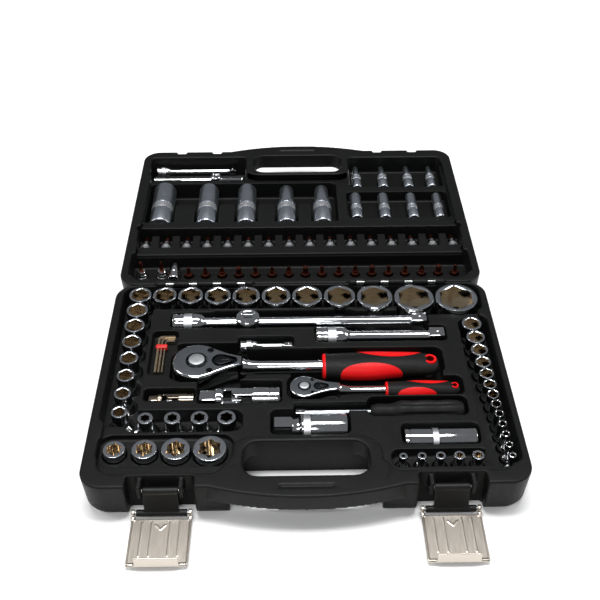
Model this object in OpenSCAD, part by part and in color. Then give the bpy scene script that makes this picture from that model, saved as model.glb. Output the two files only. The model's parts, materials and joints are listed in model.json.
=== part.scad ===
// Socket wrench set in a hinged carry case, opened flat: sockets, ratchets, bars and bits in
// moulded pockets. Millimetres, +Z up. The origin is the centre of the base half's underside,
// +X runs along the hinge and +Y goes from the base half to the lid half.

/* [Case] */
// Width of the case along the hinge
case_w = 380; // [380:1:392]
// Depth of each half without its handle
half_d = 266; // [266:1:270]
// Height of each half; the closed case is twice this
half_h = 40; // [40:1:42]
// Radius of the case's four upright corners
corner_r = 20; // [16:1:24]
// Thickness of the moulded wall
wall = 2.2; // [1.8:0.1:2.4]
// How far the handle bows out past the case's edge
handle_bow = 12; // [8:1:14]
// Length of the finger slot in each handle
slot_w = 108; // [96:1:112]

/* [Latches] */
// Distance of each latch from the case's middle
latch_x = 122; // [120:1:124]
// Width of each steel latch plate
plate_w = 51; // [46:1:52]

/* [Half-inch drive] */
// Side of the half-inch square
half_sq = 12.7; // [12.6:0.05:12.8]
// Height of the half-inch sockets
socket_h = 36.5; // [34:0.5:36.5]
// Length of the long extension bar
bar_long = 254; // [250:1:255]
// Length of the short extension bar
bar_short = 126; // [120:1:127]

/* [Quarter-inch drive] */
// Side of the quarter-inch square
quarter_sq = 6.35; // [6.3:0.05:6.4]
// Height of the quarter-inch sockets
small_socket_h = 25; // [24:0.5:25]
// Across flats of the loose bits
bit_af = 8; // [7:0.5:8]

/* [Hidden] */
$fn = 64;

// Frame of the two halves
rim_z = half_h - 0.1;
hinge_y = half_d / 2;
hinge_z = half_h;
seam_gap = 0.3;
front_y = -half_d / 2;
void_wall = wall + 0.3;

// Moulded decks and troughs, as heights above the table
deck_z = 35;
trough_z = 19;
floor_z = wall + 0.1;
lid_deck_z = 31;
ledge_z = 34.5;
open_top = 60;

// Hinge: knuckle spans on each side of the middle, alternating base and lid
base_knuckles = [[50, 58], [91, 108], [140, 150]];
lid_knuckles = [[66, 83], [116, 132]];
knuckle_r = 3;
knuckle_clear_r = 4.4;
pin_r = 1.5;
pin_bore_r = 1.55;

// Latch: case pin, and the plate's pin at rest
case_pin_y = front_y + 6;
case_pin_z = 28;
plate_pin_y = front_y - 0.5;
plate_pin_z = 7;
recess_w = 57;
plate_len = 50.9;
plate_t = 1.2;

// Rows of sockets
back_sizes = [17, 18, 19, 20, 21, 22, 23, 24, 27, 30, 32];
back_x0 = -165;
back_gap = 1.5;
back_edge_y = hinge_y - 3.5;
side_sizes = [16, 15, 14, 13, 12, 11, 10];
side_x = -165.5;
side_y0 = 94;
side_pitch = 23.4;
tall_star_x = [-141.5, -117.5, -93.5, -69.5];
tall_star_y = -54.5;
low_star_d = [19.4, 22, 25, 29];
low_star_x = [-165, -139, -112, -82.5];
low_star_y = -88;
small_sizes = [14, 13, 12, 11, 10, 9, 8, 7, 6, 5.5, 5, 4.5, 4];
small_x0 = 168;
small_x_drift = 8;
small_y0 = 68;
small_star_x = [83, 99, 115, 131, 147];
small_star_y = -101;
seat_z = floor_z + 0.2;
small_seat_z = 13.8;

// Bars and tools in the base
long_bar = [-129, 82.2, 30];
t_head_x = -54;
t_head_r = 12.2;
short_bar = [14, 59.3, 30];
mini_bar = [-61, 49.5, 28];
spinner_at = [-8, -39.5, 27];
joint_half_at = [-62, -19.5, 25];
joint_small_at = [-123.4, -21.5, 27];
plug21_at = [-28, -57, 24];
plug16_at = [87, -73, 25];
key_corner = [-134, 56, 30];

// Ratchets: head centre, and [head radius, head height, shank radius, tail, shank end, grip end]
ratchet_half_at = [-101, 21, 37];
ratchet_half = [23, 20, 6.2, 44, 119, 232];
ratchet_small_at = [0.5, -14, 36];
ratchet_small = [13.5, 14, 3.8, 33, 75, 145];

// Tools in the lid
deep_x = [-160, -107, -61, -14, 28];
deep_d = [26, 23, 22, 22, 22];
deep_nose_d = [26, 23, 22, 17, 16];
deep_y = 257;
deep_len = 76;
deep_z = 24;
small_deep_near_x = [68, 101, 134, 165];
small_deep_near_y = 266;
small_deep_far_x = [72, 104, 135, 163];
small_deep_far_y = 331;
small_deep_len = 48;
small_deep_z = 26;
bar_100 = [-175, 376, 25];
small_t_bar = [-176, 354, 26];
small_t_len = 109;
small_t_head_x = -100;
bit_row_n = 16;
bit_row_x0 = -172.5;
bit_row_pitch = 23;
bit_row_y = 218;
bit_row_z = 22;
standing_bit_y = 176;
standing_bit_n = 17;
standing_bit_x0 = -121;
standing_bit_pitch = 18.1;
standing_bit_z = 3;
standing_bit_len = 25;
standing_socket_x = [-172, -150];
standing_socket_z = 8;
adaptor_at = [-136, 160, 24];

// ---------- outlines shared by several parts ----------

// Outer diameter of a half-inch socket's mouth for its size
function mouth_d(size) = max(size + 5, 1.35 * size);

// Outer diameter of a quarter-inch socket's mouth for its size
function small_mouth_d(size) = max(1.4 * size, size + 2.6);

// Outer diameter of a quarter-inch socket's drive end for its size
function small_drive_d(size) = max(11.2, small_mouth_d(size));

// Place of each quarter-inch socket: each stands a fixed gap in front of the one behind it
function small_y(i) =
    i == 0 ? small_y0
    : small_y(i - 1) - 0.9 - (small_drive_d(small_sizes[i]) + small_drive_d(small_sizes[i - 1])) / 2;

function small_x(i) = small_x0 + small_x_drift * i / (len(small_sizes) - 1);

function across_corners(flats) = flats / cos(30);

// Place of each socket along the back row, a fixed gap between neighbours
function back_x(i) =
    i == 0 ? back_x0
    : back_x(i - 1) + back_gap + (mouth_d(back_sizes[i]) + mouth_d(back_sizes[i - 1])) / 2;

module rounded_rect(w, d, r) {
    square([w - 2 * r, d], center = true);
    square([w, d - 2 * r], center = true);
    for (sx = [-1, 1], sy = [-1, 1])
        translate([sx * (w / 2 - r), sy * (d / 2 - r)])
            circle(r = r);
}

// Two circles on the X axis joined by their common tangents
module teardrop(r1, r2, length) {
    hull() {
        circle(r = r1, $fn = 48);
        translate([length, 0])
            circle(r = r2, $fn = 48);
    }
}

module drive_square(size, length) {
    linear_extrude(length)
        intersection() {
            square(size, center = true);
            circle(d = size * 1.3);
        }
}

// Six-lobed star hole for outside star bolts
module star_hole(d, depth) {
    linear_extrude(depth) {
        circle(d = d * 0.8);
        for (i = [0:5])
            rotate(i * 60)
                translate([d * 0.37, 0])
                    circle(d = d * 0.26);
    }
}

module along_x() {
    rotate([0, 90, 0])
        children();
}

module along_y() {
    rotate([-90, 0, 0])
        children();
}

// Upright pocket with rounded corners, open at the top; grow widens it for the moulded wall
module pocket(x0, x1, y0, y1, bottom, r, grow) {
    translate([(x0 + x1) / 2, (y0 + y1) / 2, bottom - grow])
        linear_extrude(open_top)
            rounded_rect(x1 - x0 + 2 * grow, y1 - y0 + 2 * grow, r + grow);
}

module round_pocket(x, y, d, bottom, grow) {
    translate([x, y, bottom - grow])
        cylinder(d = d + 2 * grow, h = open_top);
}

// ---------- the moulded halves ----------

// Inset of the outside at a height, for the rounded bottom edge and the draft
function side_inset(z, edge_r) =
    let (draft = 2.2 * (1 - z / half_h))
    let (t = max(0, 1 - z / edge_r))
    draft + edge_r * (1 - sqrt(1 - t * t));

// Outside of one half, with its handle side at -Y and its rim at the top
module half_outside(inset) {
    edge_r = 8;
    hull()
        for (z = [inset, 1, 3.5, edge_r, rim_z - inset - 0.01]) {
            zz = max(z, inset);
            s = side_inset(zz, edge_r) + inset;
            translate([0, -seam_gap / 4, zz])
                linear_extrude(0.01)
                    rounded_rect(case_w - 2 * s, half_d - seam_gap / 2 - 2 * s, corner_r - inset);
        }
    // bowed handle bar, a slice of a large cylinder
    chord = 82;
    bow_r = (chord * chord + handle_bow * handle_bow) / (2 * handle_bow);
    translate([0, 0, 22 + inset])
        linear_extrude(rim_z - 22 - 2 * inset)
            intersection() {
                translate([0, front_y - handle_bow + bow_r])
                    circle(r = bow_r - inset, $fn = 180);
                translate([-chord + inset, front_y - handle_bow - 1])
                    square([2 * chord - 2 * inset, handle_bow + 20]);
            }
}

// Space round the handle: the finger slot and the relief under the bar
module handle_space(grow) {
    translate([0, front_y + 30, -1])
        linear_extrude(open_top)
            rounded_rect(slot_w + 2 * grow, 38 + 2 * grow, 14 + grow);
    translate([0, front_y + 14, -1])
        linear_extrude(23 + grow)
            rounded_rect(slot_w + 22 + 2 * grow, 70 + 2 * grow, 8 + grow);
}

// Raised band that the inner deck leaves standing round the finger slot
module slot_band() {
    translate([0, front_y + 24])
        rounded_rect(slot_w + 24, 62, 20);
    for (s = [-1, 1])
        difference() {
            translate([s * (slot_w / 2 + 17), front_y + 20])
                square([22, 12], center = true);
            translate([s * (slot_w / 2 + 28), front_y + 28])
                circle(r = 13);
        }
}

// Shallow inner deck within the rim
module deck_recess(bottom, grow) {
    translate([0, 0, bottom - grow])
        linear_extrude(open_top)
            difference() {
                translate([0, 5.5])
                    rounded_rect(case_w - 26 + 2 * grow, half_d - 19 + 2 * grow, corner_r - 6);
                slot_band();
            }
}

module latch_recess(x, grow) {
    translate([x, front_y - 6, -1 - grow])
        linear_extrude(open_top)
            rounded_rect(recess_w + 2 * grow, 38 + 2 * grow, 3);
}

// Shallow groove along the top of the handle
module handle_groove(grow) {
    pocket(-23, 23, front_y - 2.5, front_y + 1.5, rim_z - 1.6, 1.9, grow);
}

module hinge_clearance(grow) {
    for (s = [-1, 1])
        translate([s * 100, hinge_y, hinge_z])
            along_x()
                cylinder(r = knuckle_clear_r + grow, h = 102 + 2 * grow, center = true);
}

module knuckles(spans, side) {
    for (s = [-1, 1], span = spans) {
        x0 = s > 0 ? span[0] : -span[1];
        span_len = span[1] - span[0];
        difference() {
            union() {
                translate([x0, hinge_y, hinge_z])
                    along_x()
                        cylinder(r = knuckle_r, h = span_len);
                translate([x0, hinge_y + (side > 0 ? seam_gap / 2 : -2.4), hinge_z - 8])
                    cube([span_len, 2.4 - seam_gap / 2, 7.9]);
            }
            translate([x0 - 1, hinge_y, hinge_z])
                along_x()
                    cylinder(r = pin_bore_r, h = span_len + 2);
        }
    }
}

module base_pockets(grow) {
    deck_recess(deck_z, grow);
    handle_space(grow);
    handle_groove(grow);
    hinge_clearance(grow);
    for (s = [-1, 1])
        latch_recess(s * latch_x, grow);

    // back row: a trough with a round seat for each socket
    pocket(-182, 183, 99, back_edge_y + 0.4, trough_z, 12, grow);
    pocket(96, 183, 86, back_edge_y + 0.4, trough_z, 12, grow);
    for (i = [0:len(back_sizes) - 1]) {
        d = mouth_d(back_sizes[i]);
        round_pocket(back_x(i), back_edge_y - d / 2, d + 1.6, floor_z, grow);
    }

    // side row
    pocket(-182, -150, side_y0 - 6.6 * side_pitch, side_y0 + 20, trough_z, 10, grow);
    for (i = [0:len(side_sizes) - 1])
        round_pocket(side_x, side_y0 - i * side_pitch, 23, floor_z, grow);

    // tall and low star sockets
    pocket(-160, -55, tall_star_y - 13, tall_star_y + 13, trough_z, 10, grow);
    for (x = tall_star_x)
        round_pocket(x, tall_star_y, 23.4, floor_z, grow);
    for (i = [0:3])
        round_pocket(low_star_x[i], low_star_y, low_star_d[i] + 1.6, floor_z, grow);
    pocket(-179, -62, low_star_y - 19, low_star_y + 17, 29, 12, grow);

    // quarter-inch sockets down the right side, and their star sockets
    pocket(155, 184, small_y(12) - 9, small_y0 + 12, trough_z, 10, grow);
    for (i = [0:len(small_sizes) - 1])
        round_pocket(small_x(i), small_y(i), small_drive_d(small_sizes[i]) + 1.4, small_seat_z - 0.2, grow);
    pocket(73, 157, small_star_y - 10, small_star_y + 10, 25, 8, grow);
    for (x = small_star_x)
        round_pocket(x, small_star_y, 12.6, small_seat_z - 0.2, grow);

    // extension bars and the trough that the sliding head runs in
    pocket(long_bar[0] - 2, long_bar[0] + bar_long + 2, long_bar[1] - 11.5, long_bar[1] + 11.5, 18, 5, grow);
    pocket(-92, 56, long_bar[1] - 13.5, long_bar[1] + 14, floor_z, 8, grow);
    pocket(short_bar[0] - 2, short_bar[0] + bar_short + 2, short_bar[1] - 11.5, short_bar[1] + 11.5, 18, 5, grow);
    pocket(mini_bar[0] - 2, mini_bar[0] + 53, mini_bar[1] - 7, mini_bar[1] + 7, 21, 4, grow);

    // half-inch ratchet
    pocket(-127, -52, -5.5, 47.5, 15, 14, grow);
    round_pocket(ratchet_half_at[0], ratchet_half_at[1], 26, floor_z, grow);
    pocket(-70, 134, 3.5, 38.5, 14, 8, grow);

    // quarter-inch ratchet
    pocket(-15.5, 36, -29.5, 1.5, 18, 9, grow);
    round_pocket(ratchet_small_at[0], ratchet_small_at[1], 15, 9, grow);
    pocket(30, 148, -26, -1, 16, 7, grow);

    // spinner handle, joints, plug sockets and hex keys
    pocket(-10, 62, -44.5, -34.5, 22, 3, grow);
    pocket(57, 148, -51.5, -27.5, 15, 7, grow);
    pocket(-99, -20, -33.5, -4.5, 12, 4, grow);
    pocket(-147, -99.5, -29.5, -13.5, 19, 4, grow);
    pocket(-30.5, 40.5, -72.5, -42, 9.5, 6, grow);
    pocket(84.5, 153.5, -86, -60.5, 12.5, 6, grow);
    pocket(-147, -121, 4, 66, 26, 5, grow);
}

// The case's own brackets that carry the latch pin
module latch_brackets(x) {
    for (s = [-1, 1])
        translate([x + s * 17.6, 0, 0])
            difference() {
                translate([-2, front_y + 2, 23])
                    cube([4, 13, 14]);
                translate([-3, case_pin_y, case_pin_z])
                    along_x()
                        cylinder(r = pin_bore_r, h = 6);
            }
}

module base_shell() {
    color("#1e1f1e")
        union() {
            difference() {
                half_outside(0);
                base_pockets(0);
                difference() {
                    half_outside(void_wall);
                    base_pockets(wall);
                }
            }
            knuckles(base_knuckles, -1);
            for (s = [-1, 1])
                latch_brackets(s * latch_x);
        }
}

// Turns a shape drawn as a base half into the lid's place, handle side away from the hinge
module lid_place() {
    translate([0, half_d, 0])
        rotate(180)
            children();
}

// Grooves in the lid's front that the latch plate's lip and ears go into
module lip_grooves(grow) {
    for (s = [-1, 1]) {
        translate([s * latch_x - 26 - grow, front_y - 5, 17.5 - grow])
            cube([52 + 2 * grow, 11.6 + grow, 7 + 2 * grow]);
        for (e = [-1, 1])
            translate([s * latch_x + e * 22 - 5.5 - grow, front_y - 5, 17.5 - grow])
                cube([11 + 2 * grow, 9.5 + grow, open_top]);
    }
}

module lid_pockets(grow) {
    lid_place() {
        handle_space(grow);
        handle_groove(grow);
        lip_grooves(grow);
    }
    hinge_clearance(grow);
    // inner deck, with two ledges left standing across it
    lid_place()
        translate([0, 0, lid_deck_z - grow])
            linear_extrude(open_top)
                difference() {
                    translate([0, 5])
                        rounded_rect(case_w - 24 + 2 * grow, half_d - 24 + 2 * grow, corner_r - 6);
                    slot_band();
                    for (y = [half_d - 246.5, half_d - 198])
                        translate([0, y])
                            square([case_w, 14 - 2 * grow], center = true);
                }
    for (y = [246.5, 198])
        translate([-case_w / 2 + 12, y - 9, ledge_z - grow])
            cube([case_w - 24, 18, open_top]);

    // deep half-inch sockets: one trough, with pads left between them
    difference() {
        pocket(-177, 46, 255, 338, 9.5, 6, grow);
        for (i = [0:3]) {
            x0 = deep_x[i] + deep_d[i] / 2 + 2.5 + grow;
            x1 = deep_x[i + 1] - deep_d[i + 1] / 2 - 2.5 - grow;
            translate([(x0 + x1) / 2, 278, -1])
                linear_extrude(30 - grow)
                    rounded_rect(x1 - x0, 38 - 2 * grow, 5 - grow / 2);
        }
    }

    // deep quarter-inch sockets, two rows
    pocket(57, 177, 263, 317, 17, 5, grow);
    pocket(62, 176, 328, 382, 17, 5, grow);

    // quarter-inch bars
    pocket(-180, -63, 344, 385, 12, 5, grow);

    // row of bit sockets, a slot for each
    pocket(-182, 182, 231, 240.5, 15, 3, grow);
    for (i = [0:bit_row_n - 1])
        pocket(bit_row_x0 + i * bit_row_pitch - 7.2, bit_row_x0 + i * bit_row_pitch + 7.2,
            209, 241, 15, 3, grow);

    // trench by the hinge, with a seat for each standing bit
    pocket(-182, 182, 150, 190, 17, 5, grow);
    for (i = [0:standing_bit_n - 1])
        round_pocket(standing_bit_x0 + i * standing_bit_pitch, standing_bit_y,
            across_corners(bit_af) + 1.2, standing_bit_z - 0.2, grow);
    for (x = standing_socket_x)
        round_pocket(x, standing_bit_y, 13.2, standing_socket_z - 0.2, grow);
}

module lid_shell() {
    color("#1e1f1e")
        union() {
            difference() {
                lid_place()
                    half_outside(0);
                lid_pockets(0);
                difference() {
                    lid_place()
                        half_outside(void_wall);
                    lid_pockets(wall);
                }
            }
            knuckles(lid_knuckles, 1);
        }
}

module hinge_pins() {
    color("silver")
        for (s = [-1, 1])
            translate([s * 100, hinge_y, hinge_z])
                along_x()
                    cylinder(r = pin_r, h = 99, center = true);
}

// ---------- latches ----------

module latch_case_pins() {
    color("silver")
        for (s = [-1, 1])
            translate([s * latch_x, case_pin_y, case_pin_z])
                along_x()
                    cylinder(r = pin_r, h = 39, center = true);
}

// Moulded link from the case pin down to the plate's pin
module latch_link(x) {
    dy = plate_pin_y - case_pin_y;
    dz = plate_pin_z - case_pin_z;
    reach = sqrt(dy * dy + dz * dz);
    lean = atan2(-dy, -dz);
    translate([x, 0, 0])
        difference() {
            union() {
                translate([0, case_pin_y, case_pin_z])
                    along_x()
                        cylinder(r = 3.2, h = 30, center = true);
                translate([0, plate_pin_y, plate_pin_z])
                    along_x()
                        cylinder(r = 3, h = 43, center = true);
                translate([0, case_pin_y, case_pin_z])
                    rotate([-lean, 0, 0])
                        translate([-14.6, -2, -reach - 0.7])
                            cube([29.2, 4, reach + 1.5]);
            }
            translate([0, case_pin_y, case_pin_z])
                along_x()
                    cylinder(r = pin_bore_r, h = 31, center = true);
            translate([0, plate_pin_y, plate_pin_z])
                along_x()
                    cylinder(r = pin_bore_r, h = 44, center = true);
        }
}

// Steel plate lying outwards from the link, with a turned-up lip and two curled ears
module latch_plate(x) {
    inner_y = plate_pin_y - 4.5;
    outer_y = plate_pin_y - plate_len;
    bottom = plate_pin_z - 3.7;
    translate([x, 0, 0])
        difference() {
            union() {
                translate([-plate_w / 2, outer_y, bottom])
                    cube([plate_w, inner_y - outer_y, plate_t]);
                translate([-22, outer_y, bottom])
                    cube([44, plate_t, 11.2]);
                for (s = [-1, 1])
                    translate([s * (plate_w / 2 - 1.4), 0, 0]) {
                        translate([-1.4, inner_y - 1, bottom])
                            cube([2.8, 5.5, plate_t]);
                        translate([0, plate_pin_y, plate_pin_z])
                            along_x()
                                cylinder(r = 3.2, h = 2.8, center = true);
                    }
            }
            translate([0, plate_pin_y, plate_pin_z])
                along_x()
                    cylinder(r = pin_bore_r, h = plate_w + 2, center = true);
        }
}

module latch_plate_pin(x) {
    translate([x, plate_pin_y, plate_pin_z])
        along_x()
            cylinder(r = pin_r, h = plate_w, center = true);
}

module latch_link_left() { color("#222322") latch_link(-latch_x); }
module latch_link_right() { color("#222322") latch_link(latch_x); }
module latch_plate_left() { color("#cfc8bd") latch_plate(-latch_x); }
module latch_plate_right() { color("#cfc8bd") latch_plate(latch_x); }
module latch_plate_pin_left() { color("silver") latch_plate_pin(-latch_x); }
module latch_plate_pin_right() { color("silver") latch_plate_pin(latch_x); }

// ---------- ratchets, each drawn with its head's centre at the origin and its top at z = 0 ----------

// size is [head radius, head height, shank radius, tail, shank end, grip end]
function gear_r(size) = size[0] * 0.56;
function pawl_x(size) = size[0] * 0.98;
function lever_seat(size) = size[1] * 0.16;

// Room cut in the head for the lever's swing
module lever_room(size) {
    translate([pawl_x(size), 0, -lever_seat(size)])
        linear_extrude(10)
            teardrop(size[0] * 0.32, size[0] * 0.28, size[0] * 0.62);
}

module ratchet_head(size) {
    difference() {
        union() {
            translate([0, 0, -size[1]])
                linear_extrude(size[1])
                    teardrop(size[0], size[2] + 1, size[3]);
            translate([size[3] - 4, 0, -size[1] / 2])
                along_x()
                    cylinder(r = size[2], h = size[4] + 40 - size[3]);
        }
        // gear cavity from below, and the button's hole above it
        translate([0, 0, -size[1] - 1])
            cylinder(r = gear_r(size) + 0.4, h = size[1] * 0.72 + 1);
        translate([0, 0, -size[1]])
            cylinder(r = size[0] * 0.42, h = size[1] + 1);
        // pawl cavity
        translate([pawl_x(size), 0, -size[1] * 0.82])
            cylinder(r = size[0] * 0.3 + 0.4, h = size[1] * 0.5);
        translate([pawl_x(size), 0, -size[1] * 0.5])
            cylinder(r = size[0] * 0.1 + 0.35, h = size[1]);
        lever_room(size);
        for (s = [-1, 1])
            translate([size[0] * 0.55, s * size[0] * 0.6, -size[1] * 0.5])
                cylinder(r = size[0] * 0.1 + 0.05, h = size[1]);
    }
}

// Toothed drive gear with its square below and a sprung ball in the square
module ratchet_drive(size, square) {
    teeth = 36;
    r = gear_r(size);
    top = -size[1] * 0.32;
    difference() {
        union() {
            translate([0, 0, -size[1] + 0.3])
                linear_extrude(size[1] + top - 0.3)
                    polygon([for (i = [0:2 * teeth - 1])
                        let (a = i * 180 / teeth)
                        let (p = i % 2 == 0 ? r : r * 0.94)
                        [p * cos(a), p * sin(a)]]);
            translate([0, 0, -size[1] + 0.3 - square * 1.05])
                drive_square(square, square * 1.05 + 1);
            translate([square * 0.42, 0, -size[1] - square * 0.5])
                sphere(d = square * 0.32);
        }
        translate([0, 0, -size[1] * 0.9])
            cylinder(r = size[0] * 0.14, h = size[1]);
    }
}

module ratchet_button(size) {
    cylinder(r = size[0] * 0.34, h = size[1] * 0.1);
    translate([0, 0, -size[1] * 0.16])
        cylinder(r = size[0] * 0.38, h = size[1] * 0.16);
    translate([0, 0, -size[1] * 0.65])
        cylinder(r = size[0] * 0.12, h = size[1] * 0.65);
}

module ratchet_lever(size) {
    translate([pawl_x(size), 0, 0.3 - lever_seat(size)]) {
        linear_extrude(lever_seat(size) + size[1] * 0.05)
            teardrop(size[0] * 0.26, size[0] * 0.1, size[0] * 0.6);
        translate([0, 0, -size[1] * 0.3])
            cylinder(r = size[0] * 0.1, h = size[1] * 0.31);
    }
}

module ratchet_pawl(size) {
    difference() {
        translate([pawl_x(size), 0, -size[1] * 0.8])
            cylinder(r = size[0] * 0.3, h = size[1] * 0.36);
        translate([pawl_x(size), 0, -size[1]])
            cylinder(r = size[0] * 0.1 + 0.05, h = size[1]);
        translate([0, 0, -size[1]])
            cylinder(r = gear_r(size) + 0.5, h = size[1]);
    }
}

module ratchet_screws(size) {
    for (s = [-1, 1])
        translate([size[0] * 0.55, s * size[0] * 0.6, -size[1] * 0.5 + 0.1])
            cylinder(r = size[0] * 0.1, h = size[1] * 0.5 - 0.3);
}

// Whole outside of the two-part handle grip: a rounded bar trimmed to a rounded plan
module grip_solid(size) {
    w = size[0] * 0.72;
    h = size[1] * 0.58;
    x0 = size[4];
    x1 = size[5];
    intersection() {
        translate([x0, 0, -size[1] / 2])
            along_x()
                linear_extrude(x1 - x0)
                    rounded_rect(2 * h, 2 * w, h * 0.85);
        translate([(x0 + x1) / 2, 0, -50])
            linear_extrude(100)
                rounded_rect(x1 - x0, 2 * w + 0.02, w * 0.6);
    }
}

// Pointed oval, the overlap of two circles
module pointed_oval(length, width, height) {
    r = (length * length + width * width) / (4 * width);
    linear_extrude(height)
        intersection() {
            translate([0, r - width / 2])
                circle(r = r);
            translate([0, width / 2 - r])
                circle(r = r);
        }
}

// The zones of the grip that are moulded in the second colour
module inlay_zones(size) {
    mid = (size[4] + size[5]) / 2;
    w = size[0] * 0.72;
    translate([size[4] - 1, -50, -50])
        cube([3.5, 100, 100]);
    translate([mid - w * 1.1, -w * 0.72, -size[1] / 2])
        pointed_oval(w * 3.6, w * 1.4, 50);
    translate([mid + w * 1.5, w * 0.95, -size[1] / 2])
        pointed_oval(w * 3.4, w, 50);
}

module grip_bores(size) {
    translate([size[4] - 5, 0, -size[1] / 2])
        along_x()
            cylinder(r = size[2] + 0.05, h = 45);
    translate([size[5] - size[0] * 0.42, 0, -50])
        cylinder(r = size[0] * 0.17, h = 100);
}

module ratchet_grip(size) {
    difference() {
        grip_solid(size);
        inlay_zones(size);
        grip_bores(size);
    }
}

module ratchet_inlays(size) {
    difference() {
        intersection() {
            grip_solid(size);
            inlay_zones(size);
        }
        grip_bores(size);
    }
}

module ratchet_half_head() {
    color("silver") translate(ratchet_half_at) ratchet_head(ratchet_half);
}
module ratchet_half_grip() {
    color("#2b2c2b") translate(ratchet_half_at) ratchet_grip(ratchet_half);
}
module ratchet_half_inlays() {
    color("#e8191c") translate(ratchet_half_at) ratchet_inlays(ratchet_half);
}
module ratchet_half_drive() {
    color("silver") translate(ratchet_half_at) ratchet_drive(ratchet_half, half_sq);
}
module ratchet_half_button() {
    color("silver") translate(ratchet_half_at) ratchet_button(ratchet_half);
}
module ratchet_half_lever() {
    color("#303030") translate(ratchet_half_at) ratchet_lever(ratchet_half);
}
module ratchet_half_pawl() {
    color("gray") translate(ratchet_half_at) ratchet_pawl(ratchet_half);
}
module ratchet_half_screws() {
    color("#303030") translate(ratchet_half_at) ratchet_screws(ratchet_half);
}
module ratchet_quarter_head() {
    color("silver") translate(ratchet_small_at) ratchet_head(ratchet_small);
}
module ratchet_quarter_grip() {
    color("#2b2c2b") translate(ratchet_small_at) ratchet_grip(ratchet_small);
}
module ratchet_quarter_inlays() {
    color("#e8191c") translate(ratchet_small_at) ratchet_inlays(ratchet_small);
}
module ratchet_quarter_drive() {
    color("silver") translate(ratchet_small_at) ratchet_drive(ratchet_small, quarter_sq);
}
module ratchet_quarter_button() {
    color("silver") translate(ratchet_small_at) ratchet_button(ratchet_small);
}
module ratchet_quarter_lever() {
    color("#303030") translate(ratchet_small_at) ratchet_lever(ratchet_small);
}
module ratchet_quarter_pawl() {
    color("gray") translate(ratchet_small_at) ratchet_pawl(ratchet_small);
}
module ratchet_quarter_screws() {
    color("#303030") translate(ratchet_small_at) ratchet_screws(ratchet_small);
}

// ---------- extension bars ----------

// Bar along +X from its socket end: end diameter, shank diameter and drive square
module extension_bar(length, end_d, shank_d, square) {
    end_len = end_d * 1.35;
    tip = square * 1.15;
    along_x()
        difference() {
            union() {
                cylinder(d = end_d, h = end_len);
                translate([0, 0, end_len])
                    cylinder(d1 = end_d, d2 = shank_d, h = end_d * 0.3);
                cylinder(d = shank_d, h = length - tip);
                translate([0, 0, length - tip - 1])
                    drive_square(square, tip + 1);
                translate([-square * 0.42, 0, length - tip * 0.5])
                    sphere(d = square * 0.32);
            }
            translate([0, 0, -1])
                linear_extrude(square * 1.25 + 1)
                    square(square + 0.3, center = true);
        }
}

module extension_250() { color("silver") translate(long_bar) extension_bar(bar_long, 20, 11.4, half_sq); }
module extension_125() { color("silver") translate(short_bar) extension_bar(bar_short, 20, 11.4, half_sq); }
module extension_50() { color("silver") translate(mini_bar) extension_bar(51, 11.4, 6, quarter_sq); }
module extension_100() { color("silver") translate(bar_100) extension_bar(98, 11.4, 6, quarter_sq); }

// Cross head that slides on a bar, its square drive pointing down; r is the head's radius
module cross_head(r, top, bar_z, bore_d, square) {
    difference() {
        union() {
            translate([0, 0, bar_z - bore_d * 0.95])
                cylinder(r = r, h = top - bar_z + bore_d * 0.95);
            translate([0, 0, bar_z - bore_d * 0.95 - square * 0.95])
                drive_square(square, square);
        }
        translate([-r - 1, 0, bar_z])
            along_x()
                cylinder(d = bore_d, h = 2 * r + 2);
        translate([0, 0, top - 2.2])
            linear_extrude(5)
                square(square * 0.85, center = true);
    }
}

module sliding_t_head() {
    color("silver")
        translate([t_head_x, long_bar[1], 0])
            cross_head(t_head_r, 39, long_bar[2], 12.1, 11.4);
}

module t_bar_quarter() {
    color("silver")
        translate(small_t_bar)
            along_x() {
                cylinder(d = 6, h = small_t_len);
                for (z = [0, small_t_len - 3])
                    translate([0, 0, z])
                        cylinder(d = 7, h = 3);
            }
}

module t_head_quarter() {
    color("silver")
        translate([small_t_head_x, small_t_bar[1], 0])
            cross_head(6.6, 33, small_t_bar[2], 6.7, quarter_sq);
}

// ---------- spinner handle ----------

module spinner_shank() {
    color("silver")
        translate(spinner_at)
            along_x() {
                translate([0, 0, 8])
                    cylinder(d = 5.6, h = 100);
                drive_square(quarter_sq, 9);
            }
}

module spinner_grip() {
    color("#2b2c2b")
        translate([60, spinner_at[1], spinner_at[2]])
            along_x()
                difference() {
                    union() {
                        cylinder(d1 = 12, d2 = 15, h = 6);
                        translate([0, 0, 6])
                            cylinder(d = 15, h = 12);
                        translate([0, 0, 18])
                            cylinder(d1 = 15, d2 = 20.4, h = 10);
                        translate([0, 0, 28])
                            cylinder(d = 20.4, h = 50);
                        translate([0, 0, 78])
                            cylinder(d1 = 20.4, d2 = 16, h = 7);
                    }
                    translate([0, 0, -1])
                        cylinder(d = 5.7, h = 42);
                    translate([0, 0, 75])
                        linear_extrude(11)
                            square(quarter_sq + 0.2, center = true);
                }
}

// ---------- universal joints, drawn at half-inch size with the cross at the origin ----------

module joint_fork() {
    difference() {
        union() {
            translate([-34, 0, 0])
                along_x()
                    drive_square(half_sq, 15);
            translate([-20, 0, 0])
                along_x()
                    cylinder(r = 11, h = 8);
            for (s = [-1, 1]) {
                translate([-13, s * 8.4 - 1.9, -5])
                    cube([13, 3.8, 10]);
                translate([0, s * 8.4, 0])
                    along_y()
                        cylinder(r = 5, h = 3.8, center = true);
            }
            translate([-27, 0, half_sq * 0.42])
                sphere(d = 4);
        }
        along_y()
            cylinder(r = 3.05, h = 40, center = true);
    }
}

module joint_cross() {
    cube([9.5, 12.2, 9.5], center = true);
    along_y()
        cylinder(r = 3, h = 20.4, center = true);
    cylinder(r = 3, h = 20.4, center = true);
}

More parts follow.
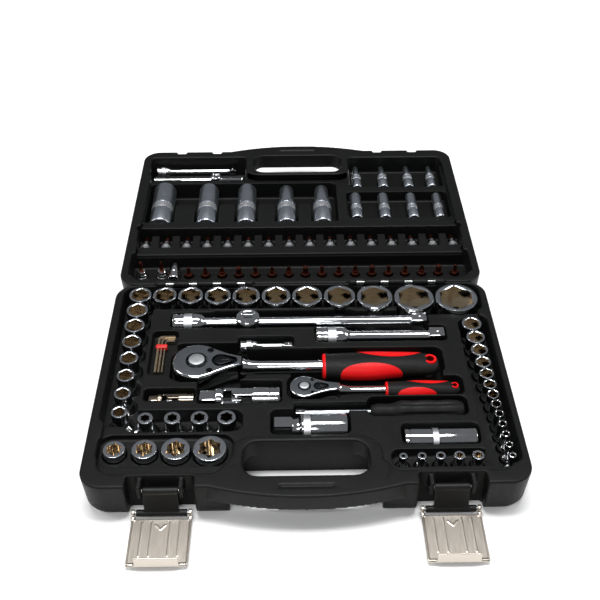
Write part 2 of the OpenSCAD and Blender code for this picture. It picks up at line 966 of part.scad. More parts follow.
module joint_socket() {
    difference() {
        union() {
            translate([13.5, 0, 0])
                along_x()
                    cylinder(r = 11.5, h = 26.5);
            for (s = [-1, 1]) {
                translate([0, -4.6, s * 8.4 - 1.9])
                    cube([15, 9.2, 3.8]);
                translate([0, 0, s * 8.4])
                    cylinder(r = 4.6, h = 3.8, center = true);
            }
        }
        cylinder(r = 3.05, h = 40, center = true);
        translate([24, 0, 0])
            along_x()
                linear_extrude(20)
                    square(half_sq + 0.3, center = true);
    }
}

module joint_half_fork() { color("silver") translate(joint_half_at) joint_fork(); }
module joint_half_cross() { color("gray") translate(joint_half_at) joint_cross(); }
module joint_half_socket() { color("silver") translate(joint_half_at) joint_socket(); }
module joint_quarter_fork() { color("tan") translate(joint_small_at) scale(0.56) joint_fork(); }
module joint_quarter_cross() { color("gray") translate(joint_small_at) scale(0.56) joint_cross(); }
module joint_quarter_socket() { color("tan") translate(joint_small_at) scale(0.56) joint_socket(); }

// ---------- spark plug sockets ----------

// Along +X from the drive end: body diameter, nut across flats, length and plug size
module plug_socket(body_d, nut_af, length, plug) {
    nut_len = length * 0.26;
    along_x()
        difference() {
            union() {
                cylinder(d = across_corners(nut_af), h = nut_len, $fn = 6);
                translate([0, 0, nut_len])
                    cylinder(d1 = nut_af * 0.95, d2 = body_d, h = 4);
                translate([0, 0, nut_len + 4])
                    cylinder(d = body_d, h = length - nut_len - 4);
            }
            translate([0, 0, -1])
                linear_extrude(14)
                    square(half_sq + 0.3, center = true);
            translate([0, 0, 20])
                cylinder(d = plug * 0.98, h = length);
            translate([0, 0, length - 16])
                cylinder(d = across_corners(plug), h = 20, $fn = 6);
        }
}

module spark_plug_socket_21() { color("silver") translate(plug21_at) plug_socket(27, 20.6, 66, 20.8); }
module spark_plug_socket_16() { color("silver") translate(plug16_at) plug_socket(22, 19, 64, 16); }

// Rubber sleeves that grip the plug, deep inside each plug socket
module plug_rubber(at, outer_d) {
    translate([at[0] + 24, at[1], at[2]])
        along_x()
            difference() {
                cylinder(d = outer_d - 0.1, h = 20);
                translate([0, 0, -1])
                    cylinder(d = outer_d * 0.62, h = 22);
            }
}

module spark_plug_rubbers() {
    color("#303030") {
        plug_rubber(plug21_at, 20.8 * 0.98);
        plug_rubber(plug16_at, 16 * 0.98);
    }
}

// ---------- hex keys ----------

// L-shaped key: corner near the origin, long arm along -Y, short arm along +X
module hex_key(flats, long_arm, short_arm) {
    bend = flats * 1.6;
    d = across_corners(flats);
    translate([bend, -bend, 0])
        rotate(90)
            rotate_extrude(angle = 90)
                translate([bend, 0])
                    circle(d = d, $fn = 6);
    translate([bend, 0, 0])
        along_x()
            rotate(90)
                cylinder(d = d, h = short_arm - bend, $fn = 6);
    translate([0, -bend, 0])
        rotate([90, 0, 0])
            cylinder(d = d, h = long_arm - bend, $fn = 6);
}

module hex_keys() {
    color("#b09a80")
        translate(key_corner)
            for (i = [0:2])
                translate([-3.3 * i, 2.9 * i, 0])
                    hex_key([1.5, 2, 2.5][i], 44 + 3 * i, 9 + 3.3 * i);
}

module hex_key_clip() {
    color("#c8201c")
        translate(key_corner)
            difference() {
                translate([-10, -14, -3])
                    cube([13, 9, 6]);
                for (i = [0:2])
                    translate([-3.3 * i, 0, 0])
                        rotate([90, 0, 0])
                            cylinder(r = [1.5, 2, 2.5][i] * 0.6 + 0.05, h = 20);
            }
}

// ---------- sockets ----------

// Upright socket from its drive end: drive end and mouth diameters, height, drive square, hex flats
module socket(drive_d, top_d, height, square, flats) {
    drive_len = height * 0.45;
    hex_len = min(height * 0.5, flats * 0.75 + 3);
    difference() {
        union() {
            cylinder(d = drive_d, h = drive_len);
            translate([0, 0, drive_len])
                cylinder(d1 = drive_d, d2 = top_d, h = height * 0.08);
            translate([0, 0, drive_len])
                cylinder(d = top_d, h = height - drive_len);
        }
        translate([0, 0, -1])
            linear_extrude(height + 2)
                square(min(square + 0.3, flats * 0.72), center = true);
        translate([0, 0, -1])
            linear_extrude(height * 0.4 + 1)
                square(square + 0.3, center = true);
        translate([0, 0, height - hex_len])
            cylinder(d = across_corners(flats + 0.2), h = hex_len + 1, $fn = 6);
    }
}

module star_socket(drive_d, top_d, height, square, star_d) {
    drive_len = height * 0.42;
    difference() {
        union() {
            cylinder(d = drive_d, h = drive_len);
            translate([0, 0, drive_len])
                cylinder(d1 = drive_d, d2 = top_d, h = height * 0.1);
            translate([0, 0, drive_len])
                cylinder(d = top_d, h = height - drive_len);
        }
        translate([0, 0, -1])
            linear_extrude(height * 0.4 + 1)
                square(square + 0.3, center = true);
        translate([0, 0, height - star_d * 0.8])
            star_hole(star_d, star_d);
    }
}

module sockets_back_row() {
    color("silver")
        for (i = [0:len(back_sizes) - 1]) {
            d = mouth_d(back_sizes[i]);
            translate([back_x(i), back_edge_y - d / 2, seat_z])
                socket(d, d, socket_h, half_sq, back_sizes[i]);
        }
}

module sockets_side_row() {
    color("silver")
        for (i = [0:len(side_sizes) - 1])
            translate([side_x, side_y0 - i * side_pitch, seat_z])
                socket(22, mouth_d(side_sizes[i]), socket_h, half_sq, side_sizes[i]);
}

module star_sockets_tall() {
    color("silver")
        for (i = [0:3])
            translate([tall_star_x[i], tall_star_y, seat_z])
                star_socket(22, 14 + i * 0.9, socket_h, half_sq, 9.4 + i * 1.1);
}

module star_sockets_low() {
    color("silver")
        for (i = [0:3])
            translate([low_star_x[i], low_star_y, seat_z])
                star_socket(max(22, low_star_d[i]) - (i == 0 ? 2.6 : 0), low_star_d[i], 33.5, half_sq,
                    [14.7, 16.6, 18.5, 22.1][i]);
}

module sockets_quarter() {
    color("silver")
        for (i = [0:len(small_sizes) - 1])
            translate([small_x(i), small_y(i), small_seat_z])
                socket(small_drive_d(small_sizes[i]), small_mouth_d(small_sizes[i]),
                    small_socket_h, quarter_sq, small_sizes[i]);
}

module star_sockets_quarter() {
    color("silver")
        for (i = [0:4])
            translate([small_star_x[i], small_star_y, small_seat_z])
                star_socket(11.2, 7.4 + i * 0.8, small_socket_h - 1, quarter_sq, 3.9 + i * 0.9);
}

// Deep socket lying along +Y, its drive end towards the hinge
module deep_socket(drive_d, nose_d, length, square, flats) {
    along_y()
        difference() {
            union() {
                cylinder(d = drive_d, h = length * 0.46);
                translate([0, 0, length * 0.46])
                    cylinder(d1 = drive_d, d2 = nose_d, h = 3);
                cylinder(d = nose_d, h = length);
            }
            translate([0, 0, -1])
                linear_extrude(square * 1.3 + 1)
                    rotate(45)
                        square(square + 0.3, center = true);
            translate([0, 0, length * 0.5])
                cylinder(d = across_corners(flats), h = length, $fn = 6);
        }
}

module deep_sockets_half() {
    color("silver")
        for (i = [0:4])
            translate([deep_x[i], deep_y, deep_z])
                deep_socket(deep_d[i], deep_nose_d[i], deep_len, half_sq, [19, 17, 16, 12, 10][i]);
}

module deep_sockets_quarter_near() {
    color("silver")
        for (i = [0:3])
            translate([small_deep_near_x[i], small_deep_near_y, small_deep_z])
                deep_socket(13.4 - i * 0.5, 13.4 - i * 0.7, small_deep_len, quarter_sq, 10 - i);
}

module deep_sockets_quarter_far() {
    color("silver")
        for (i = [0:3])
            translate([small_deep_far_x[i], small_deep_far_y, small_deep_z])
                deep_socket(11.6, 8.6 - i * 0.5, small_deep_len, quarter_sq, 6 - i * 0.5);
}

// ---------- bits ----------

// Chrome body of a bit socket, from its drive end
module bit_socket_body() {
    difference() {
        cylinder(d = 11.8, h = 17);
        translate([0, 0, -1])
            linear_extrude(9)
                square(quarter_sq + 0.3, center = true);
        translate([0, 0, 9.9])
            cylinder(d = 5.1, h = 10);
    }
}

module bit_socket_tip() {
    translate([0, 0, 10])
        cylinder(d = 5, h = 18);
}

module at_bit_sockets() {
    for (i = [0:bit_row_n - 1])
        translate([bit_row_x0 + i * bit_row_pitch, bit_row_y - 7, bit_row_z])
            along_y()
                children();
    for (x = standing_socket_x)
        translate([x, standing_bit_y, standing_socket_z])
            children();
}

module bit_sockets() { color("silver") at_bit_sockets() bit_socket_body(); }
module bit_socket_tips() { color("#5a2a22") at_bit_sockets() bit_socket_tip(); }

module bits_8mm() {
    color("#5a2a22")
        for (i = [0:standing_bit_n - 1])
            translate([standing_bit_x0 + i * standing_bit_pitch, standing_bit_y, standing_bit_z]) {
                cylinder(d = across_corners(bit_af), h = standing_bit_len - 8, $fn = 6);
                cylinder(d = 6.4, h = standing_bit_len);
            }
}

module bit_adaptor() {
    color("silver")
        translate(adaptor_at)
            along_y()
                difference() {
                    cylinder(d = 11.4, h = 24);
                    translate([0, 0, -1])
                        linear_extrude(10)
                            square(quarter_sq + 0.3, center = true);
                    translate([0, 0, 13])
                        cylinder(d = across_corners(6.5), h = 20, $fn = 6);
                }
}

base_shell();
lid_shell();
hinge_pins();
latch_case_pins();
latch_link_left();
latch_link_right();
latch_plate_left();
latch_plate_right();
latch_plate_pin_left();
latch_plate_pin_right();
ratchet_half_head();
ratchet_half_grip();
ratchet_half_inlays();
ratchet_half_drive();
ratchet_half_button();
ratchet_half_lever();
ratchet_half_pawl();
ratchet_half_screws();
ratchet_quarter_head();
ratchet_quarter_grip();
ratchet_quarter_inlays();
ratchet_quarter_drive();
ratchet_quarter_button();
ratchet_quarter_lever();
ratchet_quarter_pawl();
ratchet_quarter_screws();
extension_250();
sliding_t_head();
extension_125();
extension_50();
extension_100();
t_bar_quarter();
t_head_quarter();
spinner_shank();
spinner_grip();
joint_half_fork();
joint_half_cross();
joint_half_socket();
joint_quarter_fork();
joint_quarter_cross();
joint_quarter_socket();
spark_plug_socket_21();
spark_plug_socket_16();
spark_plug_rubbers();
hex_keys();
hex_key_clip();
sockets_back_row();
sockets_side_row();
star_sockets_tall();
star_sockets_low();
sockets_quarter();
star_sockets_quarter();
deep_sockets_half();
deep_sockets_quarter_near();
deep_sockets_quarter_far();
bit_sockets();
bit_socket_tips();
bits_8mm();
bit_adaptor();
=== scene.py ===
# %% [markdown]
# # A socket wrench set in its hinged case
# The set lies open: two black moulded halves joined by a pin hinge, with chromed sockets, ratchets,
# bars and bits in shaped pockets, and two steel latch plates hanging out in front. The case, its
# joints and the size of every tool come from the loaded frame. This script gives each part its
# final shape and finish. Lengths are in metres, and MM turns a length in millimetres into metres.

# %% Load the frame
import json
import math

import bpy
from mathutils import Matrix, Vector


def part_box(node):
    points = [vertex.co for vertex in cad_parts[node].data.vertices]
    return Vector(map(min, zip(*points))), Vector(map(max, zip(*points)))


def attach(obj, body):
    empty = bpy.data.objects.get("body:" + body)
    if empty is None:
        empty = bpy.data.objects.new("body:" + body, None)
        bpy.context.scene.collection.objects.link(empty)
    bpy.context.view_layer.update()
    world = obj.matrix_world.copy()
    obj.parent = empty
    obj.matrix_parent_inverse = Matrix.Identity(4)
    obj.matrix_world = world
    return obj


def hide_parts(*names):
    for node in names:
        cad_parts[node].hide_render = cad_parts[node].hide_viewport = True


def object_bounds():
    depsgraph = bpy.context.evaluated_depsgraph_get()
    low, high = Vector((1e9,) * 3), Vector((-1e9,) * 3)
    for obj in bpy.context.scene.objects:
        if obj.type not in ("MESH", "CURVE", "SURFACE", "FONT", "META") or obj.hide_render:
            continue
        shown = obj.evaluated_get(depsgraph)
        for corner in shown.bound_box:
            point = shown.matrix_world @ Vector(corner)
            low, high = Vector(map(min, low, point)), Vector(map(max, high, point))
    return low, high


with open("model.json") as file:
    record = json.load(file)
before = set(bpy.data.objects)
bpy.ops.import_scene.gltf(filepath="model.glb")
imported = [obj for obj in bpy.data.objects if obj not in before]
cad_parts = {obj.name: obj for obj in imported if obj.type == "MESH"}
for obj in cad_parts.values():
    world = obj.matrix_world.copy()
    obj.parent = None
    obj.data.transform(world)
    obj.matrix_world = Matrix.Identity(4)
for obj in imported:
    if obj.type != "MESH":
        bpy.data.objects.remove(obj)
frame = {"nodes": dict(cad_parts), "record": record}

cad_low, cad_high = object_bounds()
MM = 0.001
print("frame:", len(frame["nodes"]), "nodes, size in mm", [round(v / MM, 1) for v in cad_high - cad_low])

# %% [markdown]
# ## Camera, floor and light
# A product like this is taken from above and in front, so that the eye looks into the pockets.
# The camera stands over the front edge, looks down by 40 degrees and uses a slightly long lens,
# which keeps the case's sides nearly parallel.

# %% Camera
scene = bpy.context.scene
CAMERA_PLACE = (-0.01445, -0.6294, 0.6505)
CAMERA_DOWN = 39.73
CAMERA_TO_RIGHT = 1.015
LENS_MM = 56.36
SENSOR_MM = 36
NEAREST_SEEN = 0.01
camera = bpy.data.objects.new("camera", bpy.data.cameras.new("camera"))
scene.collection.objects.link(camera)
camera.location = CAMERA_PLACE
camera.rotation_euler = (math.radians(90 - CAMERA_DOWN), 0, math.radians(-CAMERA_TO_RIGHT))
camera.data.lens = LENS_MM
camera.data.sensor_width = SENSOR_MM
camera.data.clip_start = NEAREST_SEEN
scene.camera = camera
scene.view_settings.view_transform = "Standard"
print("camera looks down", CAMERA_DOWN, "degrees from", CAMERA_PLACE)

# %% [markdown]
# Chrome shows what stands round it. A wide white ceiling light gives the bright tops, and a dim
# grey room leaves the upright sides dark, so the sockets keep their contrast. Two softer lamps
# at the sides draw long highlights along the bars.

# %% Floor and lights
def deselect():
    """Nothing is selected afterwards, so that the next operator acts on its own piece only."""
    bpy.ops.object.select_all(action="DESELECT")


def area_light(name, place, aim, size, power):
    """A rectangular soft light at a place, turned towards a point."""
    lamp = bpy.data.lights.new(name, "AREA")
    lamp.shape = "RECTANGLE"
    lamp.size, lamp.size_y = size
    lamp.energy = power
    holder = bpy.data.objects.new(name, lamp)
    holder.location = place
    holder.rotation_euler = (Vector(aim) - Vector(place)).to_track_quat("-Z", "Y").to_euler()
    scene.collection.objects.link(holder)


middle = (cad_low + cad_high) / 2
area_light("ceiling_light", (0.0, 0.2, 2.3), middle, (1.5, 0.5), 58)
area_light("front_light", (-0.3, -1.3, 1.7), middle, (0.9, 0.3), 14)
area_light("left_light", (-1.5, 0.1, 1.1), middle, (0.5, 0.9), 9)
area_light("right_light", (1.5, 0.2, 1.0), middle, (0.5, 0.8), 8)

ROOM_COLOUR = (0.80, 0.82, 0.85, 1)
ROOM_STRENGTH = 0.19
FLOOR_SIZE = 8

world = bpy.data.worlds.new("dim_room")
world.use_nodes = True
room = world.node_tree.nodes["Background"].inputs
room["Color"].default_value = ROOM_COLOUR
room["Strength"].default_value = ROOM_STRENGTH
scene.world = world

deselect()
bpy.ops.mesh.primitive_plane_add(size=FLOOR_SIZE, location=(0, 0, 0))
floor = bpy.context.object
floor.name = "floor"

# %% [markdown]
# ## Finishes
# Every finish is a small node tree made by the helpers below. Colours are written as sRGB hex values,
# the way a paint chart gives them, and are turned to linear light here. Patterns read Object
# coordinates, which are metres in this frame, so a grain of 0.5 mm has a scale of 1 / 0.0005.

# %% Material helpers
def linear(hex_colour):
    """An sRGB hex colour as linear RGBA."""
    values = [int(hex_colour[i:i + 2], 16) / 255 for i in (1, 3, 5)]
    return tuple(v / 12.92 if v <= 0.04045 else ((v + 0.055) / 1.055) ** 2.4 for v in values) + (1,)


def add_node(material, kind, inputs, **settings):
    """Add a node, with its settings. An input that is a socket is linked, and a value is set."""
    node = material.node_tree.nodes.new("ShaderNode" + kind)
    for key, value in settings.items():
        setattr(node, key, value)
    for key, value in inputs.items():
        if isinstance(value, bpy.types.NodeSocket):
            material.node_tree.links.new(value, node.inputs[key])
        else:
            node.inputs[key].default_value = value
    return node


def per_mm(size):
    """Texture scale for a pattern whose cell is size millimetres."""
    return 1 / (size * MM)


def start_material(name):
    """A new material with an empty Principled shader, and its Object coordinates."""
    material = bpy.data.materials.new(name)
    material.use_nodes = True
    place = add_node(material, "TexCoord", {}).outputs["Object"]
    return material, place, material.node_tree.nodes["Principled BSDF"]


def finish_material(material, shader, colour, roughness, bump, **fixed):
    """Link colour, roughness and bump to the shader, and set the constants on its own sockets."""
    links = material.node_tree.links
    links.new(colour, shader.inputs["Base Color"])
    links.new(roughness, shader.inputs["Roughness"])
    links.new(bump, shader.inputs["Normal"])
    for key, value in fixed.items():
        shader.inputs[key.replace("_", " ")].default_value = value
    return material


def blend_of(material, factor, low, high):
    """Colour between two sRGB hex values."""
    return add_node(material, "Mix", {"Factor": factor, 6: linear(low), 7: linear(high)},
                    data_type="RGBA").outputs[2]


def spread(material, factor, low, high):
    """A number from low to high as the factor goes from 0.3 to 0.7."""
    return add_node(material, "MapRange", {"Value": factor, "From Min": 0.3, "From Max": 0.7,
                                           "To Min": low, "To Max": high}).outputs["Result"]


def grain(material, place, size, detail=2.0):
    """Noise with grains of size millimetres."""
    return add_node(material, "TexNoise", {"Vector": place, "Scale": per_mm(size), "Detail": detail}
                    ).outputs["Fac"]


def bump_of(material, height, depth):
    """Bump of depth millimetres."""
    return add_node(material, "Bump", {"Height": height, "Distance": depth * MM, "Strength": 1.0}
                    ).outputs["Normal"]


# %% [markdown]
# ### Moulded plastics
# The case is blow-moulded HDPE (high-density polyethylene): soft-looking, near black, with the
# faint orange-peel of a blasted mould. The latch links are the same black in nylon, a little
# glossier. HDPE's IOR is about 1.54 and nylon's 1.53.

# %% Plastic finishes
def plastic(name, dark, light, roughness, peel, depth, ior, level=0.5):
    """Moulded plastic: a slow drift in shade, and a fine peel from the mould's blasted face."""
    material, place, shader = start_material(name)
    drift = grain(material, place, 38)
    peel_height = grain(material, place, peel, 3.0)
    colour = blend_of(material, drift, dark, light)
    rough = spread(material, grain(material, place, 2.3), roughness - 0.06, roughness + 0.07)
    return finish_material(material, shader, colour, rough, bump_of(material, peel_height, depth),
                           IOR=ior, Specular_IOR_Level=level)


hdpe_black = plastic("hdpe_blasted_mould_black", "#0b0c0b", "#121312", 0.47, 0.55, 0.05, 1.54, 0.13)
nylon_black = plastic("nylon_moulded_black", "#0e0f0e", "#141515", 0.4, 0.8, 0.03, 1.53, 0.2)
grip_black = plastic("grip_rubber_black", "#101110", "#191a19", 0.5, 0.45, 0.04, 1.50, 0.12)
grip_red = plastic("grip_rubber_red", "#c40d10", "#d51518", 0.42, 0.5, 0.03, 1.50, 0.16)
clip_red = plastic("key_clip_pvc_red", "#b01a16", "#c8261f", 0.4, 0.6, 0.03, 1.53)
sleeve_rubber = plastic("sleeve_rubber_black", "#171717", "#222222", 0.6, 0.4, 0.05, 1.52)
floor_paint = plastic("studio_floor_matt_paint", "#f4f4f4", "#f7f7f7", 0.75, 3.0, 0.01, 1.45, 0.15)
floor.data.materials.append(floor_paint)
print("plastics:", [m.name for m in bpy.data.materials])

# %% [markdown]
# ### Metals
# Chrome plating on polished steel mirrors the room. Where the forging was only tumbled before it was
# plated, the same chrome is satin. A metal keeps the default IOR, and its colour is what it mirrors.
# The inside of a socket is plated thinly over the broached steel, so it looks warm and a little dull.
# The latch plates are nickel-plated spring steel with rolling lines along their length, and the
# bits are phosphated, which leaves them red-brown.

# %% Metal finishes
def metal(name, dark, light, roughness, vary, peel, depth):
    """Plated metal: a light drift in shade, roughness that varies, and a slight waviness."""
    material, place, shader = start_material(name)
    colour = blend_of(material, grain(material, place, 9), dark, light)
    rough = spread(material, grain(material, place, 1.1, 4.0), roughness - vary, roughness + vary)
    bump = bump_of(material, grain(material, place, peel), depth)
    return finish_material(material, shader, colour, rough, bump, Metallic=1.0)


def rolled_metal(name, dark, light, roughness, along, spacing, depth):
    """Rolled or ground steel: fine lines that run along one axis."""
    material, place, shader = start_material(name)
    stretch = [0.03 if axis == along else 1.0 for axis in "xyz"]
    lined = add_node(material, "Mapping", {"Vector": place, "Scale": stretch}).outputs["Vector"]
    lines = grain(material, lined, spacing, 3.0)
    colour = blend_of(material, lines, dark, light)
    rough = spread(material, lines, roughness - 0.03, roughness + 0.04)
    return finish_material(material, shader, colour, rough, bump_of(material, lines, depth),
                           Metallic=1.0)


chrome = metal("chrome_polished", "#cfd1d3", "#e6e7e9", 0.07, 0.02, 14, 0.015)
chrome_satin = metal("chrome_satin", "#a4a9af", "#b4b9bf", 0.22, 0.03, 6, 0.004)
chrome_deep = metal("chrome_satin_deep_sockets", "#b3bac4", "#ccd2da", 0.3, 0.04, 5, 0.005)
chrome_knurl = metal("chrome_knurled_bands", "#d3d5d8", "#e9eaec", 0.42, 0.05, 4, 0.004)
chrome_rim = metal("chrome_satin_rims", "#b9bfc6", "#d9dce0", 0.2, 0.04, 4, 0.004)
chrome_matt = metal("chrome_matt_buttons", "#aeb1b4", "#c6c9cc", 0.45, 0.04, 4, 0.004)
bore_chrome = metal("chrome_thin_in_bores", "#d9ccb8", "#efe5d4", 0.1, 0.02, 9, 0.001)
zinc = metal("zinc_plated_pins", "#9a9c9c", "#b8baba", 0.3, 0.06, 0.8, 0.01)
# dark_steel is the own dark finish of screws, levers and pawls, and also painted shade on the ratchet heads'
# recess walls and round their buttons.
dark_steel = metal("blackened_steel_and_painted_shade", "#2a2b2d", "#3a3b3e", 0.32, 0.06, 0.6, 0.01)
bit_steel = metal("phosphated_bit_steel", "#4a261e", "#65382c", 0.4, 0.06, 0.5, 0.02)
key_steel = metal("nickel_plated_key_steel", "#b39f86", "#d9c8ac", 0.3, 0.06, 0.7, 0.01)
joint_steel = metal("chrome_oiled_joint", "#8b7f72", "#b3a796", 0.2, 0.06, 0.9, 0.02)
latch_nickel = rolled_metal("nickel_plated_latch_plate", "#bdb4a9", "#cfc7bc", 0.34, "y", 0.5, 0.003)
print("finishes:", len(bpy.data.materials))

# %% [markdown]
# ## Tools of the trade
# Most of the set is turned on a lathe, so the main helper works like one: a ring is laid down, and
# each extrusion carries it on to the next height and radius. The other helpers select edges or faces by
# their place, which is what a hand does with box select, and hand the piece over to its body.

# %% Modelling helpers
MERGE_DISTANCE = 0.01 * MM


def only(piece):
    """Make one piece the selected and active one."""
    deselect()
    piece.select_set(True)
    bpy.context.view_layer.objects.active = piece


def edit(piece):
    """Open a piece in edit mode, with everything selected."""
    only(piece)
    bpy.ops.object.mode_set(mode="EDIT")
    bpy.ops.mesh.select_all(action="SELECT")


def done():
    """Leave edit mode and return the piece."""
    bpy.ops.object.mode_set(mode="OBJECT")
    return bpy.context.object


def extrude_ring(height_step, factor, height):
    """Carry the selected ring on along Z and scale it about the axis."""
    bpy.ops.mesh.extrude_region_move(TRANSFORM_OT_translate={"value": (0, 0, height_step)})
    if abs(factor - 1) > 1e-6:
        bpy.ops.transform.resize(value=(factor, factor, 1), center_override=(0, 0, height))


def open_turned(rings, sides):
    """A turned wall with open ends, left in edit mode. rings are (height, radius) in millimetres."""
    deselect()
    height, radius = rings[0]
    bpy.ops.mesh.primitive_circle_add(vertices=sides, radius=radius * MM, location=(0, 0, 0))
    bpy.ops.object.mode_set(mode="EDIT")
    bpy.ops.mesh.select_all(action="SELECT")
    bpy.ops.transform.translate(value=(0, 0, height * MM))
    for next_height, next_radius in rings[1:]:
        extrude_ring((next_height - height) * MM, next_radius / radius, next_height * MM)
        height, radius = next_height, next_radius


def add_wall(sides, radius, top, bottom, turn=0.0, valleys=1.0):
    """In edit mode, add a straight polygon wall from top to bottom, as a broach leaves it.

    With valleys below 1, every second corner is drawn in, which makes a star.
    """
    bpy.ops.mesh.primitive_circle_add(vertices=sides, radius=radius * MM, location=(0, 0, top * MM),
                                      rotation=(0, 0, turn))
    if valleys < 1:
        piece = bpy.context.object
        bpy.ops.object.mode_set(mode="OBJECT")
        ring = [v for v in piece.data.vertices if v.select]
        for vertex in ring[1::2]:
            vertex.co.x *= valleys
            vertex.co.y *= valleys
        bpy.ops.object.mode_set(mode="EDIT")
    bpy.ops.mesh.extrude_region_move(TRANSFORM_OT_translate={"value": (0, 0, (bottom - top) * MM)})


def bridge_open_edges(low, high):
    """In edit mode, join the two open edge loops that lie between two heights."""
    bpy.ops.mesh.select_all(action="DESELECT")
    bpy.ops.mesh.select_mode(type="EDGE")
    bpy.ops.mesh.select_non_manifold(extend=False, use_wire=False, use_multi_face=False,
                                     use_non_contiguous=False, use_verts=False)
    bpy.ops.object.mode_set(mode="OBJECT")
    mesh = bpy.context.object.data
    chosen = []
    for edge in mesh.edges:
        heights = [mesh.vertices[i].co.z for i in edge.vertices]
        chosen.append(edge.select and min(heights) > low * MM and max(heights) < high * MM)
    for part in (mesh.vertices, mesh.edges, mesh.polygons):
        part.foreach_set("select", [False] * len(part))
    mesh.edges.foreach_set("select", chosen)
    bpy.ops.object.mode_set(mode="EDIT")
    bpy.ops.mesh.bridge_edge_loops()


def close_up():
    """In edit mode, merge doubles, turn all faces outwards, and leave edit mode."""
    bpy.ops.mesh.select_mode(type="VERT")
    bpy.ops.mesh.select_all(action="SELECT")
    bpy.ops.mesh.remove_doubles(threshold=MERGE_DISTANCE)
    bpy.ops.mesh.normals_make_consistent(inside=False)
    return done()


def turned(name, rings, sides=48):
    """A closed turned piece: the rings go from one end's face to the other's."""
    open_turned(rings, sides)
    bpy.ops.mesh.select_all(action="SELECT")
    bpy.ops.mesh.fill_holes(sides=0)
    piece = close_up()
    piece.name = name
    return piece


def smooth(piece, degrees=32):
    """Shade smooth, keeping edges sharper than the angle crisp."""
    only(piece)
    bpy.ops.object.shade_smooth_by_angle(angle=math.radians(degrees))
    return piece


def apply_modifier(piece, kind, **settings):
    """Add a modifier with its settings, and apply it."""
    only(piece)
    modifier = piece.modifiers.new(kind.lower(), kind)
    for key, value in settings.items():
        setattr(modifier, key, value)
    bpy.ops.object.modifier_apply(modifier=modifier.name)
    return piece


def cut(piece, *tools):
    """Cut tools out of a piece, and throw them away."""
    for tool in tools:
        apply_modifier(piece, "BOOLEAN", operation="DIFFERENCE", object=tool, solver="EXACT")
        bpy.data.objects.remove(tool)
    return piece


def join(name, pieces):
    """Several pieces become one."""
    deselect()
    for piece in pieces:
        piece.select_set(True)
    bpy.context.view_layer.objects.active = pieces[0]
    if len(pieces) > 1:
        bpy.ops.object.join()
    bpy.context.object.name = name
    return bpy.context.object


def put(piece, place, turn=(0, 0, 0)):
    """Turn a piece by degrees about X, Y, Z, move it by millimetres, and put that into its mesh."""
    piece.rotation_euler = [math.radians(a) for a in turn]
    piece.location = Vector(place) * MM
    only(piece)
    bpy.ops.object.transform_apply(location=True, rotation=True, scale=True)
    return piece


ALONG_X = (0, 90, 0)
ALONG_Y = (-90, 0, 0)


def copy_of(piece, name):
    """A copy with its own mesh."""
    twin = piece.copy()
    twin.data = piece.data.copy()
    twin.name = name
    scene.collection.objects.link(twin)
    return twin


def paint(piece, *finishes):
    """Give a piece its finishes, the first one all over."""
    piece.data.materials.clear()
    for finish in finishes:
        piece.data.materials.append(finish)
    return piece


def paint_faces(piece, index, test):
    """Give another of the piece's finishes to the faces whose centre and normal pass the test."""
    for face in piece.data.polygons:
        if test(face.center / MM, face.normal):
            face.material_index = index
    return piece


def bore_faces(low, high):
    """Test for paint_faces: the faces between two heights that look in at the Z axis."""
    return lambda centre, normal: (low < centre.z < high
                                   and normal.x * centre.x + normal.y * centre.y < -0.1)


def band_faces(low, high, radius):
    """Test for paint_faces: the faces of a knurled band round a piece of this radius."""
    return lambda centre, normal: low <= centre.z <= high and centre.xy.length > radius * 0.8


def body_of(node):
    """The body that carries a CAD node."""
    return next(name for name, nodes in frame["record"]["behaviour"]["bodies"].items() if node in nodes)


def hand_over(piece, slot_name, *nodes):
    """A finished piece rides on its nodes' body and takes their place. Its slot_name is not used."""
    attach(piece, body_of(nodes[0]))
    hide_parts(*nodes)
    print(piece.name, len(piece.data.polygons), "faces for", nodes)
    return piece


# %% [markdown]
# A row of sockets is one node with a separate solid for each socket. Splitting a copy of it gives the box
# of every solid, and these boxes give the places, diameters and heights of the finished pieces.

# %% Boxes of the separate solids in a node
NODE_MERGE_DISTANCE = 0.002 * MM


def merged_copy(node):
    """A copy of a CAD node's mesh with its loose triangles merged."""
    source = frame["nodes"][node]
    twin = bpy.data.objects.new(node + "_copy", source.data.copy())
    scene.collection.objects.link(twin)
    twin.data.materials.clear()
    edit(twin)
    bpy.ops.mesh.remove_doubles(threshold=NODE_MERGE_DISTANCE)
    return done()


def split(piece):
    """The separate solids of a piece, each as an object."""
    edit(piece)
    bpy.ops.mesh.separate(type="LOOSE")
    done()
    return list(bpy.context.selected_objects)


def box_of(piece):
    """Lowest and highest corner of a mesh in millimetres."""
    places = [v.co / MM for v in piece.data.vertices]
    low = Vector(min(p[i] for p in places) for i in range(3))
    high = Vector(max(p[i] for p in places) for i in range(3))
    return low, high


def solid_boxes(node, order):
    """Boxes of a node's solids in millimetres, sorted by a function of the box's centre."""
    parts = split(merged_copy(node))
    boxes = [box_of(part) for part in parts]
    for part in parts:
        bpy.data.objects.remove(part)
    return sorted(boxes, key=lambda b: order((b[0] + b[1]) / 2))


def node_box(node):
    """A node's box in millimetres."""
    low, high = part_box(node)
    return low / MM, high / MM


def start_of(low, high, axis):
    """The middle of a box's low face on one axis, where a piece that lies along it starts."""
    place = [(low[i] + high[i]) / 2 for i in range(3)]
    place["xyz".index(axis)] = low["xyz".index(axis)]
    return place


def by_x(centre):
    """Order from left to right."""
    return centre.x


def by_y_down(centre):
    """Order from the hinge to the front."""
    return -centre.y


back_boxes = solid_boxes("sockets_back_row", by_x)
print("back row:", [round(b[1].x - b[0].x, 1) for b in back_boxes], "mm across")

